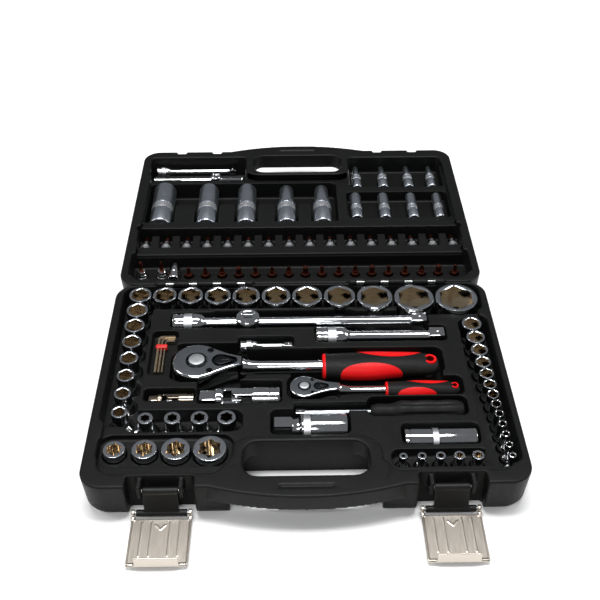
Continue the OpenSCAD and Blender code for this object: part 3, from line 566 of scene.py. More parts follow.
# %% [markdown]
# ## The case halves
# Each half is one blow-moulded hollow shell: a hot tube of plastic is blown against a cold mould, so no
# edge comes out sharp, and every pocket has a soft lip. The frame's shell has the right form with
# crisp edges. Rebuilding its skin as small cubes (voxel remesh) and relaxing it a little rounds every
# lip by about a millimetre, as the blown skin does, and Decimate then thins out the flat areas. The
# sealed hollow inside is dropped first, since nobody can see it.

# %% Case halves
VOXEL = 1.0
CASE_TRIANGLES = 180000


def block(low, high):
    """A box between two corners in millimetres."""
    deselect()
    bpy.ops.mesh.primitive_cube_add(size=1)
    piece = bpy.context.object
    piece.scale = (Vector(high) - Vector(low)) * MM
    return put(piece, (Vector(low) + Vector(high)) / 2)


def blown_shell(name, node, *scoops):
    """The outer skin of a case half with softly rounded edges; scoops lower ribs between pockets."""
    parts = split(merged_copy(node))
    parts.sort(key=lambda part: (box_of(part)[1] - box_of(part)[0]).length)
    shell = parts.pop()
    for part in parts:
        bpy.data.objects.remove(part)
    if scoops:
        cut(shell, *scoops)
    apply_modifier(shell, "REMESH", mode="VOXEL", voxel_size=VOXEL * MM, adaptivity=0)
    apply_modifier(shell, "SMOOTH", factor=0.5, iterations=3)
    triangles = 2 * len(shell.data.polygons)
    apply_modifier(shell, "DECIMATE", ratio=min(1, CASE_TRIANGLES / triangles))
    shell.name = name
    only(shell)
    bpy.ops.object.shade_smooth()
    print(name, triangles, "triangles thinned to", len(shell.data.polygons))
    return paint(shell, hdpe_black)


rib_scoop = block((-12, -2.5, 19), (131, 5.5, 50))
hand_over(blown_shell("base_half", "base_shell", rib_scoop), "case_plastic", "base_shell")
hand_over(blown_shell("lid_half", "lid_shell"), "case_plastic", "lid_shell")

# %% [markdown]
# ## Sockets
# A socket is turned from bar, then broached from both ends: a hexagon or star for the nut and a square
# for the drive. The wall is turned ring by ring, the hexagon and the square are added as
# straight polygon walls, and bridging joins them: at the mouth, where that gives the sloping lead-in
# between round rim and hexagon, at the shoulder inside, and at the drive end.

# %% One upright socket
HALF_INCH = 12.7
QUARTER_INCH = 6.35
RIM_EDGE = 0.8
SQUARE_CORNERS = 0.715  # a broached square's corner radius, as a share of its side


def corner_radius(flats):
    """Radius of a hexagon's corners from its width across flats."""
    return flats / math.sqrt(3)


def socket(drive_r, mouth_r, height, drive, bore_r, corners=6, valleys=1.0, waist=0.45):
    """An upright socket standing on its drive end, with its mouth at the top."""
    shoulder = height * 0.5
    step = [(height * waist, drive_r), (height * (waist + 0.1), mouth_r)] if mouth_r != drive_r else []
    open_turned([(0, drive_r - 1.0), (0.3, drive_r - 0.4), (1.0, drive_r)] + step
                + [(height - RIM_EDGE, mouth_r), (height - 0.35, mouth_r - 0.15),
                   (height - 0.08, mouth_r - 0.4), (height, mouth_r - 0.7),
                   (height, bore_r + 0.3)], 48)
    add_wall(corners, bore_r, height - (0.35 if corners == 6 else 0.06), shoulder, valleys=valleys)
    bridge_open_edges(height - 1.5, height + 1)
    add_wall(4, drive * SQUARE_CORNERS, shoulder, 0, turn=math.radians(45))
    bridge_open_edges(shoulder - 0.1, shoulder + 0.1)
    bridge_open_edges(-0.1, 0.1)
    return close_up()


def finish_socket(piece, mouth_r, height, bore_r):
    """Polished outside, satin rim, and the warm thin plating in the bore."""
    paint(piece, chrome, chrome_rim, bore_chrome)
    paint_faces(piece, 1, lambda c, n: c.z > height - RIM_EDGE * 0.6 and n.z > 0.3)
    paint_faces(piece, 2, lambda c, n: c.xy.length < bore_r + 0.15 and c.z < height - 1.2)
    return smooth(piece)


first = finish_socket(socket(11, 11, 36.5, HALF_INCH, corner_radius(17)), 11, 36.5, corner_radius(17))
print("one socket:", len(first.data.polygons), "faces")
bpy.data.objects.remove(first)

# %% [markdown]
# The set holds these rows: the half-inch sockets behind the bars and down the left side, star sockets
# in front of them, and the quarter-inch sockets down the right side. The box of each solid gives
# its place, mouth and height, and the lists below give the nut sizes.

# %% Rows of sockets
def socket_row(name, node, order, drive, bores, corners=6, valleys=1.0, nose=None, waist=0.45):
    """One socket for each solid of a node, joined into one piece."""
    made = []
    for (low, high), bore_r in zip(solid_boxes(node, order), bores):
        outer = (high.x - low.x) / 2
        height = (high - low).z
        mouth_r = nose(len(made)) if nose else outer
        piece = socket(outer, mouth_r, height, drive, bore_r, corners, valleys, waist)
        finish_socket(piece, mouth_r, height, bore_r)
        made.append(put(piece, start_of(low, high, "z")))
    return hand_over(join(name, made), "chrome", node)


BACK_SIZES = [17, 18, 19, 20, 21, 22, 23, 24, 27, 30, 32]
SIDE_SIZES = [16, 15, 14, 13, 12, 11, 10]
QUARTER_SIZES = [14, 13, 12, 11, 10, 9, 8, 7, 6, 5.5, 5, 4.5, 4]

socket_row("back_row_sockets", "sockets_back_row", by_x, HALF_INCH,
           [corner_radius(s) for s in BACK_SIZES])
socket_row("side_row_sockets", "sockets_side_row", by_y_down, HALF_INCH,
           [corner_radius(s) for s in SIDE_SIZES],
           nose=lambda i: max(SIDE_SIZES[i] + 5, 1.35 * SIDE_SIZES[i]) / 2)
socket_row("tall_star_sockets", "star_sockets_tall", by_x, HALF_INCH,
           [4.7 + 0.55 * i for i in range(4)], 12, 0.74, nose=lambda i: 7 + 0.45 * i, waist=0.5)
socket_row("low_star_sockets", "star_sockets_low", by_x, HALF_INCH,
           [7.35, 8.3, 9.25, 11.05], 12, 0.76)
socket_row("quarter_sockets", "sockets_quarter", by_y_down, QUARTER_INCH,
           [corner_radius(s) for s in QUARTER_SIZES],
           nose=lambda i: max(1.4 * QUARTER_SIZES[i], QUARTER_SIZES[i] + 2.6) / 2)
socket_row("quarter_star_sockets", "star_sockets_quarter", by_x, QUARTER_INCH,
           [1.95 + 0.45 * i for i in range(5)], 12, 0.74, nose=lambda i: 3.7 + 0.4 * i, waist=0.42)

# %% [markdown]
# ### Deep sockets
# The lid holds long sockets that lie with their square drive end towards the hinge. A knurled band
# round the middle gives the fingers a grip: it is rolled in with two patterned wheels, which leaves
# a mesh of small diamonds. Here each ring of the band has every second vertex drawn in, and the
# next ring the others, which makes the same diamonds.

# %% Knurls and deep sockets
KNURL_STEP = 1.1


def knurl_steps(low, high):
    """How many steps a knurled band has from ring to ring, and how long they are."""
    count = max(2, round((high - low) / KNURL_STEP))
    return count, (high - low) / count


def knurl_rings(low, high, radius):
    """Rings for a knurled band with a small groove at both ends."""
    count, step = knurl_steps(low, high)
    band = [(low + step * i, radius) for i in range(count + 1)]
    groove = min(0.6, radius * 0.08)
    return ([(low - 1.3, radius), (low - 1.0, radius - groove), (low - 0.4, radius - groove)] + band
            + [(high + 0.4, radius - groove), (high + 1.0, radius - groove), (high + 1.3, radius)])


def knurl(piece, low, high, depth, sides=48):
    """Draw in every second vertex of the rings between two heights."""
    _, step = knurl_steps(low, high)
    for vertex in piece.data.vertices:
        height = vertex.co.z / MM
        if low - 0.01 <= height <= high + 0.01:
            around = round(math.atan2(vertex.co.y, vertex.co.x) / math.tau * sides)
            if (around + round((height - low) / step)) % 2:
                share = 1 - depth * MM / vertex.co.xy.length
                vertex.co.x *= share
                vertex.co.y *= share
    return piece


def deep_socket(drive_r, nose_r, tip_r, length, drive, flats):
    """A long socket standing on its drive end, with a knurled band below its waist."""
    band = (length * 0.37, length * 0.37 + min(9, length * 0.13))
    bore = corner_radius(flats)
    open_turned([(0, drive_r - 1.2), (0.4, drive_r - 0.5), (1.3, drive_r)]
                + knurl_rings(*band, drive_r)
                + [(length * 0.56, drive_r), (length * 0.6, nose_r), (length * 0.7, nose_r),
                   (length - 1.6, tip_r + 0.2), (length - 0.5, tip_r), (length, tip_r - 0.6),
                   (length, min(bore + 0.4, tip_r - 0.7))], 48)
    hexagon = min(bore, tip_r - 0.9)
    add_wall(6, hexagon, length - 1.2, length * 0.5)
    bridge_open_edges(length - 1.4, length + 1)
    add_wall(4, drive * SQUARE_CORNERS, length * 0.5, 0)
    bridge_open_edges(length * 0.5 - 0.1, length * 0.5 + 0.1)
    bridge_open_edges(-0.1, 0.1)
    piece = knurl(close_up(), *band, min(0.45, drive_r * 0.05))
    paint(piece, chrome_deep, bore_chrome, chrome_knurl)
    paint_faces(piece, 1, bore_faces(0.1, length - 0.3))
    paint_faces(piece, 2, band_faces(*band, drive_r))
    return smooth(piece)


def deep_row(name, node, drive, flats, noses):
    """One deep socket for each solid; noses holds each waist and tip radius as shares of the solid's."""
    made = []
    for (low, high), size, (nose, tip) in zip(solid_boxes(node, by_x), flats, noses):
        radius = (high.x - low.x) / 2
        piece = deep_socket(radius, radius * nose, radius * tip, high.y - low.y, drive, size)
        made.append(put(piece, start_of(low, high, "y"), ALONG_Y))
    return hand_over(join(name, made), "satin_chrome", node)


deep_row("deep_half_sockets", "deep_sockets_half", HALF_INCH, [19, 17, 16, 12, 10],
         [(1.0, 1.0), (1.0, 0.98), (0.98, 0.95), (0.8, 0.7), (0.8, 0.68)])
deep_row("deep_quarter_sockets", "deep_sockets_quarter_near", QUARTER_INCH,
         [10, 9, 8, 7], [(1.0, 0.98), (0.99, 0.96), (0.97, 0.93), (0.95, 0.9)])
deep_row("long_nose_quarter_sockets", "deep_sockets_quarter_far", QUARTER_INCH,
         [6, 5.5, 5, 4.5], [(0.72, 0.46), (0.74, 0.44), (0.68, 0.42), (0.64, 0.4)])

# %% [markdown]
# ## Extension bars
# An extension bar is turned from round bar: a thick socket end with grooves and a knurled band, a
# taper, a long plain shank, and a milled square with a sprung ball that clicks into the socket.
# The square drive hole is cut by a boolean, because its flat floor and sharp corners are what a
# broach leaves.

# %% Bars
def drive_square(side, length, start):
    """A square drive end along Z with chamfered edges and its sprung ball."""
    deselect()
    bpy.ops.mesh.primitive_cube_add(size=1, location=(0, 0, (start + length / 2) * MM))
    square = bpy.context.object
    square.scale = (side * MM, side * MM, length * MM)
    put(square, (0, 0, start + length / 2))
    apply_modifier(square, "BEVEL", width=side * 0.09 * MM, segments=2)
    deselect()
    bpy.ops.mesh.primitive_uv_sphere_add(segments=20, ring_count=12, radius=side * 0.16 * MM,
                                         location=(-side * 0.42 * MM, 0, (start + length * 0.55) * MM))
    ball = put(bpy.context.object, (-side * 0.42, 0, start + length * 0.55))
    return join("square", [square, ball])


def square_hole(side, depth, start=0):
    """A cutter for a square drive hole along Z."""
    deselect()
    bpy.ops.mesh.primitive_cube_add(size=1)
    hole = bpy.context.object
    hole.scale = (side * MM, side * MM, (depth + 1) * MM)
    hole.name = "square_hole"
    return put(hole, (0, 0, start + (depth - 1) / 2))


def extension_bar(length, end_r, shank_r, drive):
    """A bar from its socket end at height 0 to the tip of its square."""
    end = end_r * 2.7
    tip = drive * 1.15
    band = (end * 0.42, end * 0.72)
    bar = turned("bar", [(0, end_r - 1.0), (0.5, end_r - 0.3), (1.3, end_r), (end * 0.16, end_r),
                         (end * 0.19, end_r * 0.93), (end * 0.25, end_r * 0.93), (end * 0.28, end_r)]
                 + knurl_rings(*band, end_r)
                 + [(end * 0.93, end_r * 0.97), (end, end_r * 0.94), (end * 1.1, end_r * 0.82),
                    (end * 1.18, shank_r * 1.08), (end * 1.28, shank_r), (length * 0.55, shank_r),
                    (length - tip - 3, shank_r), (length - tip - 0.8, shank_r * 0.97),
                    (length - tip, shank_r * 0.86)])
    knurl(bar, *band, end_r * 0.045)
    cut(bar, square_hole(drive + 0.3, drive * 1.25))
    paint(bar, chrome, bore_chrome, chrome_knurl)
    paint_faces(bar, 1, bore_faces(0.2, drive * 1.3))
    paint_faces(bar, 2, band_faces(*band, end_r))
    square = paint(drive_square(drive, tip + 0.5, length - tip - 0.5), chrome)
    return smooth(join("bar", [bar, square]))


for node, end_r, shank_r, drive in [("extension_250", 10, 5.7, HALF_INCH),
                                    ("extension_125", 10, 5.7, HALF_INCH),
                                    ("extension_50", 5.7, 3, QUARTER_INCH),
                                    ("extension_100", 5.7, 3, QUARTER_INCH)]:
    low, high = node_box(node)
    bar = extension_bar(high.x - low.x, end_r, shank_r, drive)
    put(bar, start_of(low, high, "x"), ALONG_X)
    bar.name = node.replace("extension", "extension_bar")
    hand_over(bar, "chrome", node)

# %% [markdown]
# ### Sliding cross heads and the small T bar
# The cross head slides along a bar and turns it into a T handle. It is a short drum, domed a little on
# top, with a shallow square in its face, and it hangs round the bar on its through bore.

# %% Cross heads
def cross_head(radius, top, bar_z, bore_r, drive, foot_z):
    """A drum round a bar along X, its square pointing down; heights above the table."""
    floor_of_drum = bar_z - bore_r * 1.9
    drum = turned("drum", [(floor_of_drum, radius - 0.8), (floor_of_drum + 0.8, radius),
                           (top - 2.4, radius), (top - 1.2, radius - 0.35), (top - 0.4, radius - 1.1),
                           (top, radius - 1.6), (top, radius * 0.68), (top - 0.3, radius * 0.64),
                           (top - 1.3, radius * 0.62)])
    hole = turned("hole", [(-radius - 2, bore_r), (radius + 2, bore_r)], 40)
    put(hole, (0, 0, bar_z), ALONG_X)
    cut(drum, hole, square_hole(drive * 0.8, 6, start=top - 2.6))
    paint(drum, chrome, chrome_rim)
    paint_faces(drum, 1, lambda c, n: n.z > 0.8 and c.z > top - 0.1)
    square = drive_square(drive, floor_of_drum - foot_z + 0.5, -(floor_of_drum + 0.5))
    put(square, (0, 0, 0), (180, 0, 0))
    return smooth(join("head", [drum, paint(square, chrome)]))


for name, node, bar_node, bore_r, drive in [
        ("sliding_cross_head", "sliding_t_head", "extension_250", 6.05, 11.4),
        ("small_cross_head", "t_head_quarter", "t_bar_quarter", 3.35, QUARTER_INCH)]:
    low, high = node_box(node)
    bar_low, bar_high = node_box(bar_node)
    head = cross_head((high.x - low.x) / 2, high.z, (bar_low.z + bar_high.z) / 2, bore_r, drive, low.z)
    put(head, ((low.x + high.x) / 2, (low.y + high.y) / 2, 0))
    head.name = name
    hand_over(head, "chrome", node)

low, high = node_box("t_bar_quarter")
length = high.x - low.x
small_bar = turned("small_t_bar", [(0, 2.4), (0.4, 3.1), (1.0, 3.5), (2.2, 3.5), (3.0, 3.0),
                                   (length / 2, 3.0), (length - 3.0, 3.0), (length - 2.2, 3.5),
                                   (length - 1.0, 3.5), (length - 0.4, 3.1), (length, 2.4)], 32)
put(small_bar, start_of(low, high, "x"), ALONG_X)
hand_over(smooth(paint(small_bar, chrome)), "chrome", "t_bar_quarter")

# %% [markdown]
# ## Ratchets
# The head is a forged teardrop with a polished, rounded edge and a flat ground face. On the face sit the
# round quick-release button in its ring, two screws, and the lever that turns the pawl over. The
# head is turned first with rounded rims, then the side towards the shank is drawn out along a smooth
# curve, as the forging die does it. Only then are the holes cut, so that their lips stay crisp.

# %% Ratchet heads
# Shares of the head's radius, and for the seat of its height.
BUTTON_HOLE = 0.46
LEVER_PIN_AT = 0.98
LEVER_PIN_R = 0.1
SCREW_AT = (0.55, 0.6)
LEVER_SEAT = 0.16


def drum(radius, top, bottom, place=(0, 0), sides=64):
    """A plain drum, used as a cutter or as the start of a piece."""
    deselect()
    bpy.ops.mesh.primitive_cylinder_add(vertices=sides, radius=radius * MM, depth=(top - bottom) * MM)
    return put(bpy.context.object, (*place, (top + bottom) / 2))


def forged_head(radius, neck_r, tail, top, bottom, edge):
    """A round head that runs into its shank on hollow shoulders, as the forging die draws it."""
    quarter_turn = [math.radians(18 * i) for i in range(6)]
    lower_rim = [(bottom + edge * math.sin(a), radius - edge * math.cos(a)) for a in quarter_turn]
    upper_rim = [(top - edge * (1 - math.sin(a)), radius - edge * (1 - math.cos(a)))
                 for a in quarter_turn]
    head = turned("forged_head", lower_rim + upper_rim, 128)
    leave = math.radians(64)
    for vertex in head.data.vertices:
        inward = radius - vertex.co.xy.length / MM
        angle = math.atan2(abs(vertex.co.y), vertex.co.x)
        if angle >= leave:
            continue
        near, near_w = (radius - inward) * math.cos(leave), (radius - inward) * math.sin(leave)
        slope = -(tail - near) / math.tan(leave)
        low, high = near, tail - inward
        for _ in range(30):
            x = (low + high) / 2
            t = (x - near) / (tail - near)
            width = (near_w * (2 * t**3 - 3 * t**2 + 1) + slope * (t**3 - 2 * t**2 + t)
                     + (neck_r - inward) * (3 * t**2 - 2 * t**3))
            low, high = (x, high) if width > x * math.tan(angle) else (low, x)
        vertex.co.y = math.copysign(x * math.tan(angle), vertex.co.y) * MM
        vertex.co.x = x * MM
    return head


def teardrop(big_r, small_r, length, top, bottom, edge, start=0.0):
    """Hull of two drums along X, with rounded rims when edge is above zero."""
    piece = join("teardrop", [drum(big_r, top, bottom, (start, 0)),
                              drum(small_r, top, bottom, (start + length, 0), 32)])
    edit(piece)
    bpy.ops.mesh.convex_hull()
    bpy.ops.mesh.dissolve_limited(angle_limit=math.radians(1))
    if edge:
        bpy.ops.mesh.select_mode(type="EDGE")
        bpy.ops.mesh.select_all(action="DESELECT")
        bpy.ops.mesh.edges_select_sharp(sharpness=math.radians(60))
        bpy.ops.mesh.bevel(offset=edge * MM, segments=5, profile=0.5, affect="EDGES")
        bpy.ops.mesh.select_mode(type="VERT")
    return done()


def ratchet_head(radius, height, shank_r, tail, shank_end):
    """Head and shank, from the head's centre at the origin with its face at height 0."""
    head = forged_head(radius, shank_r + 1, tail, 0, -height, radius * 0.11)
    gear_r = radius * 0.56
    pawl_x = radius * LEVER_PIN_AT
    pin_r = radius * LEVER_PIN_R
    seat = height * LEVER_SEAT
    screws = [(radius * SCREW_AT[0], side * radius * SCREW_AT[1]) for side in (1, -1)]
    cut(head,
        drum(gear_r + 0.4, -height * 0.28, -height - 1),
        drum(radius * BUTTON_HOLE, 1, -height),
        drum(radius * 0.3 + 0.4, -height * 0.32, -height * 0.82, (pawl_x, 0)),
        drum(pin_r + 0.35, 1, -height * 0.5, (pawl_x, 0), 32),
        teardrop(radius * 0.36, radius * 0.21, radius * 0.5, 1, -seat, 0, start=pawl_x),
        *[drum(radius * 0.14, 1, -height * 0.05, place, 32) for place in screws],
        *[drum(pin_r + 0.05, 1, -height * 0.5, place, 32) for place in screws])
    neck = turned("neck", [(tail - 7, shank_r * 0.7), (tail - 3, height * 0.45), (tail - 0.5, height * 0.46),
                           (tail + 3, height * 0.41), (tail + 8, shank_r * 1.13), (tail + 15, shank_r),
                           (shank_end, shank_r), (shank_end + 36, shank_r)], 40)
    for vertex in neck.data.vertices:
        flat = min(1, max(0, (tail + 10 - vertex.co.z / MM) / 10))
        vertex.co.y *= 1 - 0.2 * flat
    put(neck, (0, 0, -height / 2), ALONG_X)
    paint(head, chrome, chrome_satin, dark_steel)
    paint_faces(head, 1, lambda c, n: n.z > 0.95 and c.z > -0.2)
    # The walls and floors of the button hole, gear bore, lever recess and screw counterbores, below the
    # face, are painted dark: painted shade in these recesses.
    paint_faces(head, 2, lambda c, n: -height + 0.2 < c.z < -0.3 and (
        c.xy.length < radius * 0.58 or (abs(c.y) < radius * 0.33 and 0.6 < c.x / pawl_x < 1.95)
        or min((c.xy - Vector(place)).length for place in screws) < radius * 0.145))
    return smooth(join("ratchet_head", [head, paint(neck, chrome)]), 28)


def ratchet_button(radius, height):
    """Quick-release button: a domed disc on its stem, with a raised ring round it."""
    stem = radius * 0.12
    outer = radius * 0.38
    disc = radius * 0.34
    button = turned("button", [(-height * 0.65, stem), (-height * 0.16, stem), (-height * 0.16, outer),
                               (-height * 0.07, outer), (-height * 0.06, outer - 0.2),
                               (-height * 0.06, disc), (height * 0.07, disc * 0.97),
                               (height * 0.09, disc * 0.93), (height * 0.1, disc * 0.85),
                               (height * 0.1 - 0.1, disc * 0.3)])
    paint(button, chrome_matt, dark_steel)
    # The stem and the ring under the disc, down in the head's hole, are painted dark: painted shade in the
    # gap round the button.
    paint_faces(button, 1, lambda c, n: c.z < -height * 0.05)
    return smooth(button)


def ratchet_lever(radius, height):
    """Reversing lever: a teardrop thumb piece with a raised rib, on its pin."""
    pawl_x = radius * LEVER_PIN_AT
    seat = height * LEVER_SEAT
    lever = teardrop(radius * 0.26, radius * 0.09, radius * 0.42, height * 0.03, 0.3 - seat,
                     radius * 0.025, start=pawl_x)
    deselect()
    bpy.ops.mesh.primitive_cube_add(size=1)
    rib = bpy.context.object
    rib.scale = (radius * 0.34 * MM, radius * 0.07 * MM, height * 0.06 * MM)
    put(rib, (pawl_x + radius * 0.2, 0, height * 0.03 + 0.1))
    apply_modifier(rib, "BEVEL", width=radius * 0.014 * MM, segments=2)
    pin = drum(radius * LEVER_PIN_R, 0, -height * 0.45, (pawl_x, 0), 24)
    return smooth(paint(join("lever", [lever, rib, pin]), dark_steel))


def ratchet_screws(radius, height):
    """Two cap screws with hexagon sockets in their heads."""
    made = []
    for side in (-1, 1):
        screw = turned("screw", [(-height * 0.48, radius * 0.095), (-0.55, radius * 0.095),
                                 (-0.3, radius * 0.08)], 32)
        key_hole = turned("key_hole", [(-2.0, radius * 0.05), (1, radius * 0.05)], 6)
        cut(screw, key_hole)
        made.append(put(screw, (radius * SCREW_AT[0], side * radius * SCREW_AT[1], 0)))
    return smooth(paint(join("screws", made), dark_steel))


# %% [markdown]
# ### Ratchet grips
# The grip is moulded in two rubbers over the shank. Seen from above it swells in the middle and
# narrows before a rounded butt with a hanging hole; from the side it is flatter. So its skin is a ring
# that is extruded along the handle and scaled by different shares across and through. The red
# parts stand a little proud: they are cut out of a slightly fatter copy of the same skin, so they
# follow its curve exactly.

# %% Grips
GRIP_SHAPE = [  # share of the length, half width, half thickness, sideways shift (shares of the widest)
    (0.00, 0.74, 0.78, 0.00), (0.012, 0.82, 0.86, 0.00), (0.045, 0.86, 0.90, 0.00),
    (0.07, 0.84, 0.88, 0.00), (0.14, 0.88, 0.93, -0.02), (0.25, 0.94, 0.98, -0.04),
    (0.38, 0.97, 1.00, -0.03), (0.50, 0.94, 0.98, 0.00), (0.62, 0.86, 0.92, 0.05),
    (0.74, 0.82, 0.84, 0.08), (0.85, 0.82, 0.76, 0.08), (0.93, 0.74, 0.66, 0.05),
    (0.975, 0.56, 0.52, 0.02), (0.995, 0.32, 0.36, 0.00)]


def grip_skin(length, half_w, half_t, swell=0.0):
    """The grip's skin along X from 0, fatter all round by swell millimetres."""
    share, wide, thick, shift = GRIP_SHAPE[0]
    deselect()
    bpy.ops.mesh.primitive_circle_add(vertices=48, radius=1 * MM)
    bpy.ops.object.mode_set(mode="EDIT")
    bpy.ops.mesh.select_all(action="SELECT")
    bpy.ops.transform.resize(value=(half_t * thick + swell, half_w * wide + swell, 1))
    place = Vector((0, half_w * shift, share * length))
    bpy.ops.transform.translate(value=place * MM)
    last = (half_t * thick + swell, half_w * wide + swell)
    for share, wide, thick, shift in GRIP_SHAPE[1:]:
        target = Vector((0, half_w * shift, share * length))
        size = (half_t * thick + swell, half_w * wide + swell)
        bpy.ops.mesh.extrude_region_move(TRANSFORM_OT_translate={"value": (target - place) * MM})
        bpy.ops.transform.resize(value=(size[0] / last[0], size[1] / last[1], 1),
                                 center_override=target * MM)
        place, last = target, size
    bpy.ops.mesh.select_all(action="SELECT")
    bpy.ops.mesh.fill_holes(sides=0)
    skin = close_up()
    skin.name = "grip_skin"
    apply_modifier(skin, "SUBSURF", levels=2, render_levels=2)
    return put(skin, (0, 0, 0), ALONG_X)


def oval_post(length, width, place):
    """An upright oval post, used to cut an inlay's outline."""
    post = drum(1, 30, -30)
    post.scale = (length / 2, width / 2, 1)
    return put(post, (*place, 0))


def common(piece, tool):
    """Keep what lies in both."""
    apply_modifier(piece, "BOOLEAN", operation="INTERSECT", object=tool, solver="EXACT")
    bpy.data.objects.remove(tool)
    return piece


def ratchet_grip(radius, height, length, shank_r):
    """Black grip and red inlays from the collar at the origin to the butt, along X."""
    half_w = radius * 0.72
    half_t = height * 0.56
    swell = 0.35
    hang = (length - radius * 0.42, half_w * 0.06)
    black = grip_skin(length, half_w, half_t)
    collar = common(grip_skin(length, half_w, half_t, swell),
                    block((-1, -50, -50), (length * 0.03, 50, 50)))
    oval = common(grip_skin(length, half_w, half_t, swell),
                  oval_post(length * 0.54, half_w * 1.2, (length * 0.42, -half_w)))
    sliver = common(grip_skin(length, half_w, half_t, swell),
                    oval_post(length * 0.56, half_w * 1.72, (length * 0.575, half_w * 0.95)))
    for inlay in (oval, sliver):
        cut(inlay, block((-1, -50, -50), (length, 50, -half_t * 0.55)))
    eye = turned("eye", [(-half_t * 0.62, radius * 0.27), (half_t * 0.62, radius * 0.27),
                         (half_t * 0.70, radius * 0.25), (half_t * 0.70, radius * 0.20)], 40)
    put(eye, (*hang, 0))
    for piece in (black, eye):
        cut(piece, drum(radius * 0.165, 40, -40, hang, 40))
    for piece in (black, collar):
        cut(piece, put(turned("shank_hole", [(-5, shank_r + 0.05), (36, shank_r + 0.05)], 40),
                       (0, 0, 0), ALONG_X))
    smooth(paint(black, grip_black), 40)
    red = smooth(paint(join("inlays", [collar, oval, sliver, eye]), grip_red), 40)
    return black, red


def ratchet(name, prefix, radius, height, shank_r, tail):
    """Build a ratchet's pieces and put them where the frame's nodes are."""
    low, high = node_box(prefix + "_head")
    grip_low, grip_high = node_box(prefix + "_grip")
    centre = (low.x + radius, (low.y + high.y) / 2, high.z)
    red_low, red_high = node_box(prefix + "_inlays")
    collar_x = min(grip_low.x, red_low.x)
    head = ratchet_head(radius, height, shank_r, tail, collar_x - centre[0])
    grip, red = ratchet_grip(radius, height, grip_high.x - collar_x, shank_r)
    for piece, part, slot_name, place in [
            (head, "head", "satin_chrome", centre),
            (ratchet_button(radius, height), "button", "chrome", centre),
            (ratchet_lever(radius, height), "lever", "dark_steel", centre),
            (ratchet_screws(radius, height), "screws", "dark_steel", centre),
            (grip, "grip", "grip_black", (collar_x, centre[1], centre[2] - height / 2)),
            (red, "inlays", "grip_red", (collar_x, centre[1], centre[2] - height / 2))]:
        put(piece, place)
        piece.name = name + "_" + part
        hand_over(piece, slot_name, prefix + "_" + part)


ratchet("half_ratchet", "ratchet_half", 23, 20, 6.2, 44)
ratchet("quarter_ratchet", "ratchet_quarter", 13.5, 14, 3.8, 33)

# %% [markdown]
# ## Spinner handle
# The spinner is a small driver handle for the quarter-inch sockets: a ground steel shank with a
# square end, and a black grip with long finger flutes. The grip is turned first, and the flutes are
# made by drawing the turned skin in along six lines, fading out at both ends.

# %% Spinner
def flute(piece, low, high, count, depth):
    """Draw long flutes into a turned skin between two heights, fading at both ends."""
    for vertex in piece.data.vertices:
        height = vertex.co.z / MM
        if low < height < high:
            fade = math.sin(math.pi * (height - low) / (high - low)) ** 0.35
            angle = math.atan2(vertex.co.y, vertex.co.x)
            groove = max(0.0, math.cos(count * angle)) ** 1.5
            share = 1 - depth * MM * groove * fade / vertex.co.xy.length
            vertex.co.x *= share
            vertex.co.y *= share
    return piece


low, high = node_box("spinner_grip")
grip_length = high.x - low.x
fluted = [(28 + i * 2, 10.2 - 0.5 * abs(math.sin(math.pi * i / 11)) ** 4) for i in range(23)]
spinner_grip = turned("spinner_grip_fluted",
                      [(0, 4.4), (0.5, 5.6), (2, 6.3), (6, 7.4), (10, 7.6), (14, 7.2), (18, 7.3),
                       (22, 8.3), (25, 9.5)] + fluted
                      + [(76, 10.0), (79, 9.6), (82, 8.8), (84, 7.6), (grip_length, 6.0)], 72)
flute(spinner_grip, 25, 79, 6, 1.3)
cut(spinner_grip, square_hole(QUARTER_INCH + 0.2, 9, start=grip_length - 8))
put(spinner_grip, start_of(low, high, "x"), ALONG_X)
hand_over(smooth(paint(spinner_grip, grip_black), 50), "grip_black", "spinner_grip")

low, high = node_box("spinner_shank")
shank_length = high.x - low.x
shank = turned("shank", [(7.5, 2.2), (8.3, 2.8), (40, 2.8), (shank_length - 0.4, 2.8),
                         (shank_length, 2.4)], 40)
tip = drive_square(QUARTER_INCH, 8.6, -8.6)
put(tip, (0, 0, 0), (180, 0, 0))
spinner_shank = join("spinner_shank_ground", [paint(shank, chrome_satin), paint(tip, chrome)])
put(spinner_shank, start_of(low, high, "x"), ALONG_X)
hand_over(smooth(spinner_shank), "chrome", "spinner_shank")

# %% [markdown]
# ## Universal joints
# Two forged yokes turn on a small cross. Forgings have soft fillets everywhere, so a yoke
# is put together from blocks and drums, its skin is rebuilt as one with a fine voxel remesh, and a few
# smoothing passes make the fillets.

# %% Forged pieces
def forged(name, pieces, voxel, passes, ratio):
    """Fuse pieces into one skin with soft fillets."""
    piece = join(name, pieces)
    apply_modifier(piece, "REMESH", mode="VOXEL", voxel_size=voxel * MM)
    apply_modifier(piece, "SMOOTH", factor=0.5, iterations=passes)
    apply_modifier(piece, "DECIMATE", ratio=ratio)
    only(piece)
    bpy.ops.object.shade_smooth()
    return piece


def joint_fork(scale, drive):
    """Driving yoke along X, its square end at -X and the cross at the origin."""
    collar = turned("collar", [(-20 * scale, 9.4 * scale), (-19 * scale, 10.8 * scale),
                               (-14 * scale, 10.9 * scale), (-12.2 * scale, 9.8 * scale)], 48)
    parts = [put(collar, (0, 0, 0), ALONG_X)]
    for side in (-1, 1):
        parts.append(block((-14 * scale, (side * 8.4 - 1.9) * scale, -5 * scale),
                           (0, (side * 8.4 + 1.9) * scale, 5 * scale)))
        ear = drum(5 * scale, (side * 8.4 + 1.9) * scale, (side * 8.4 - 1.9) * scale, sides=40)
        parts.append(put(ear, (0, 0, 0), ALONG_Y))
    yoke = forged("yoke", parts, 0.55 * scale, 3, 0.5)
    square = drive_square(drive, 15.5 * scale, 19 * scale)
    put(square, (0, 0, 0), (0, -90, 0))
    return [yoke, square]


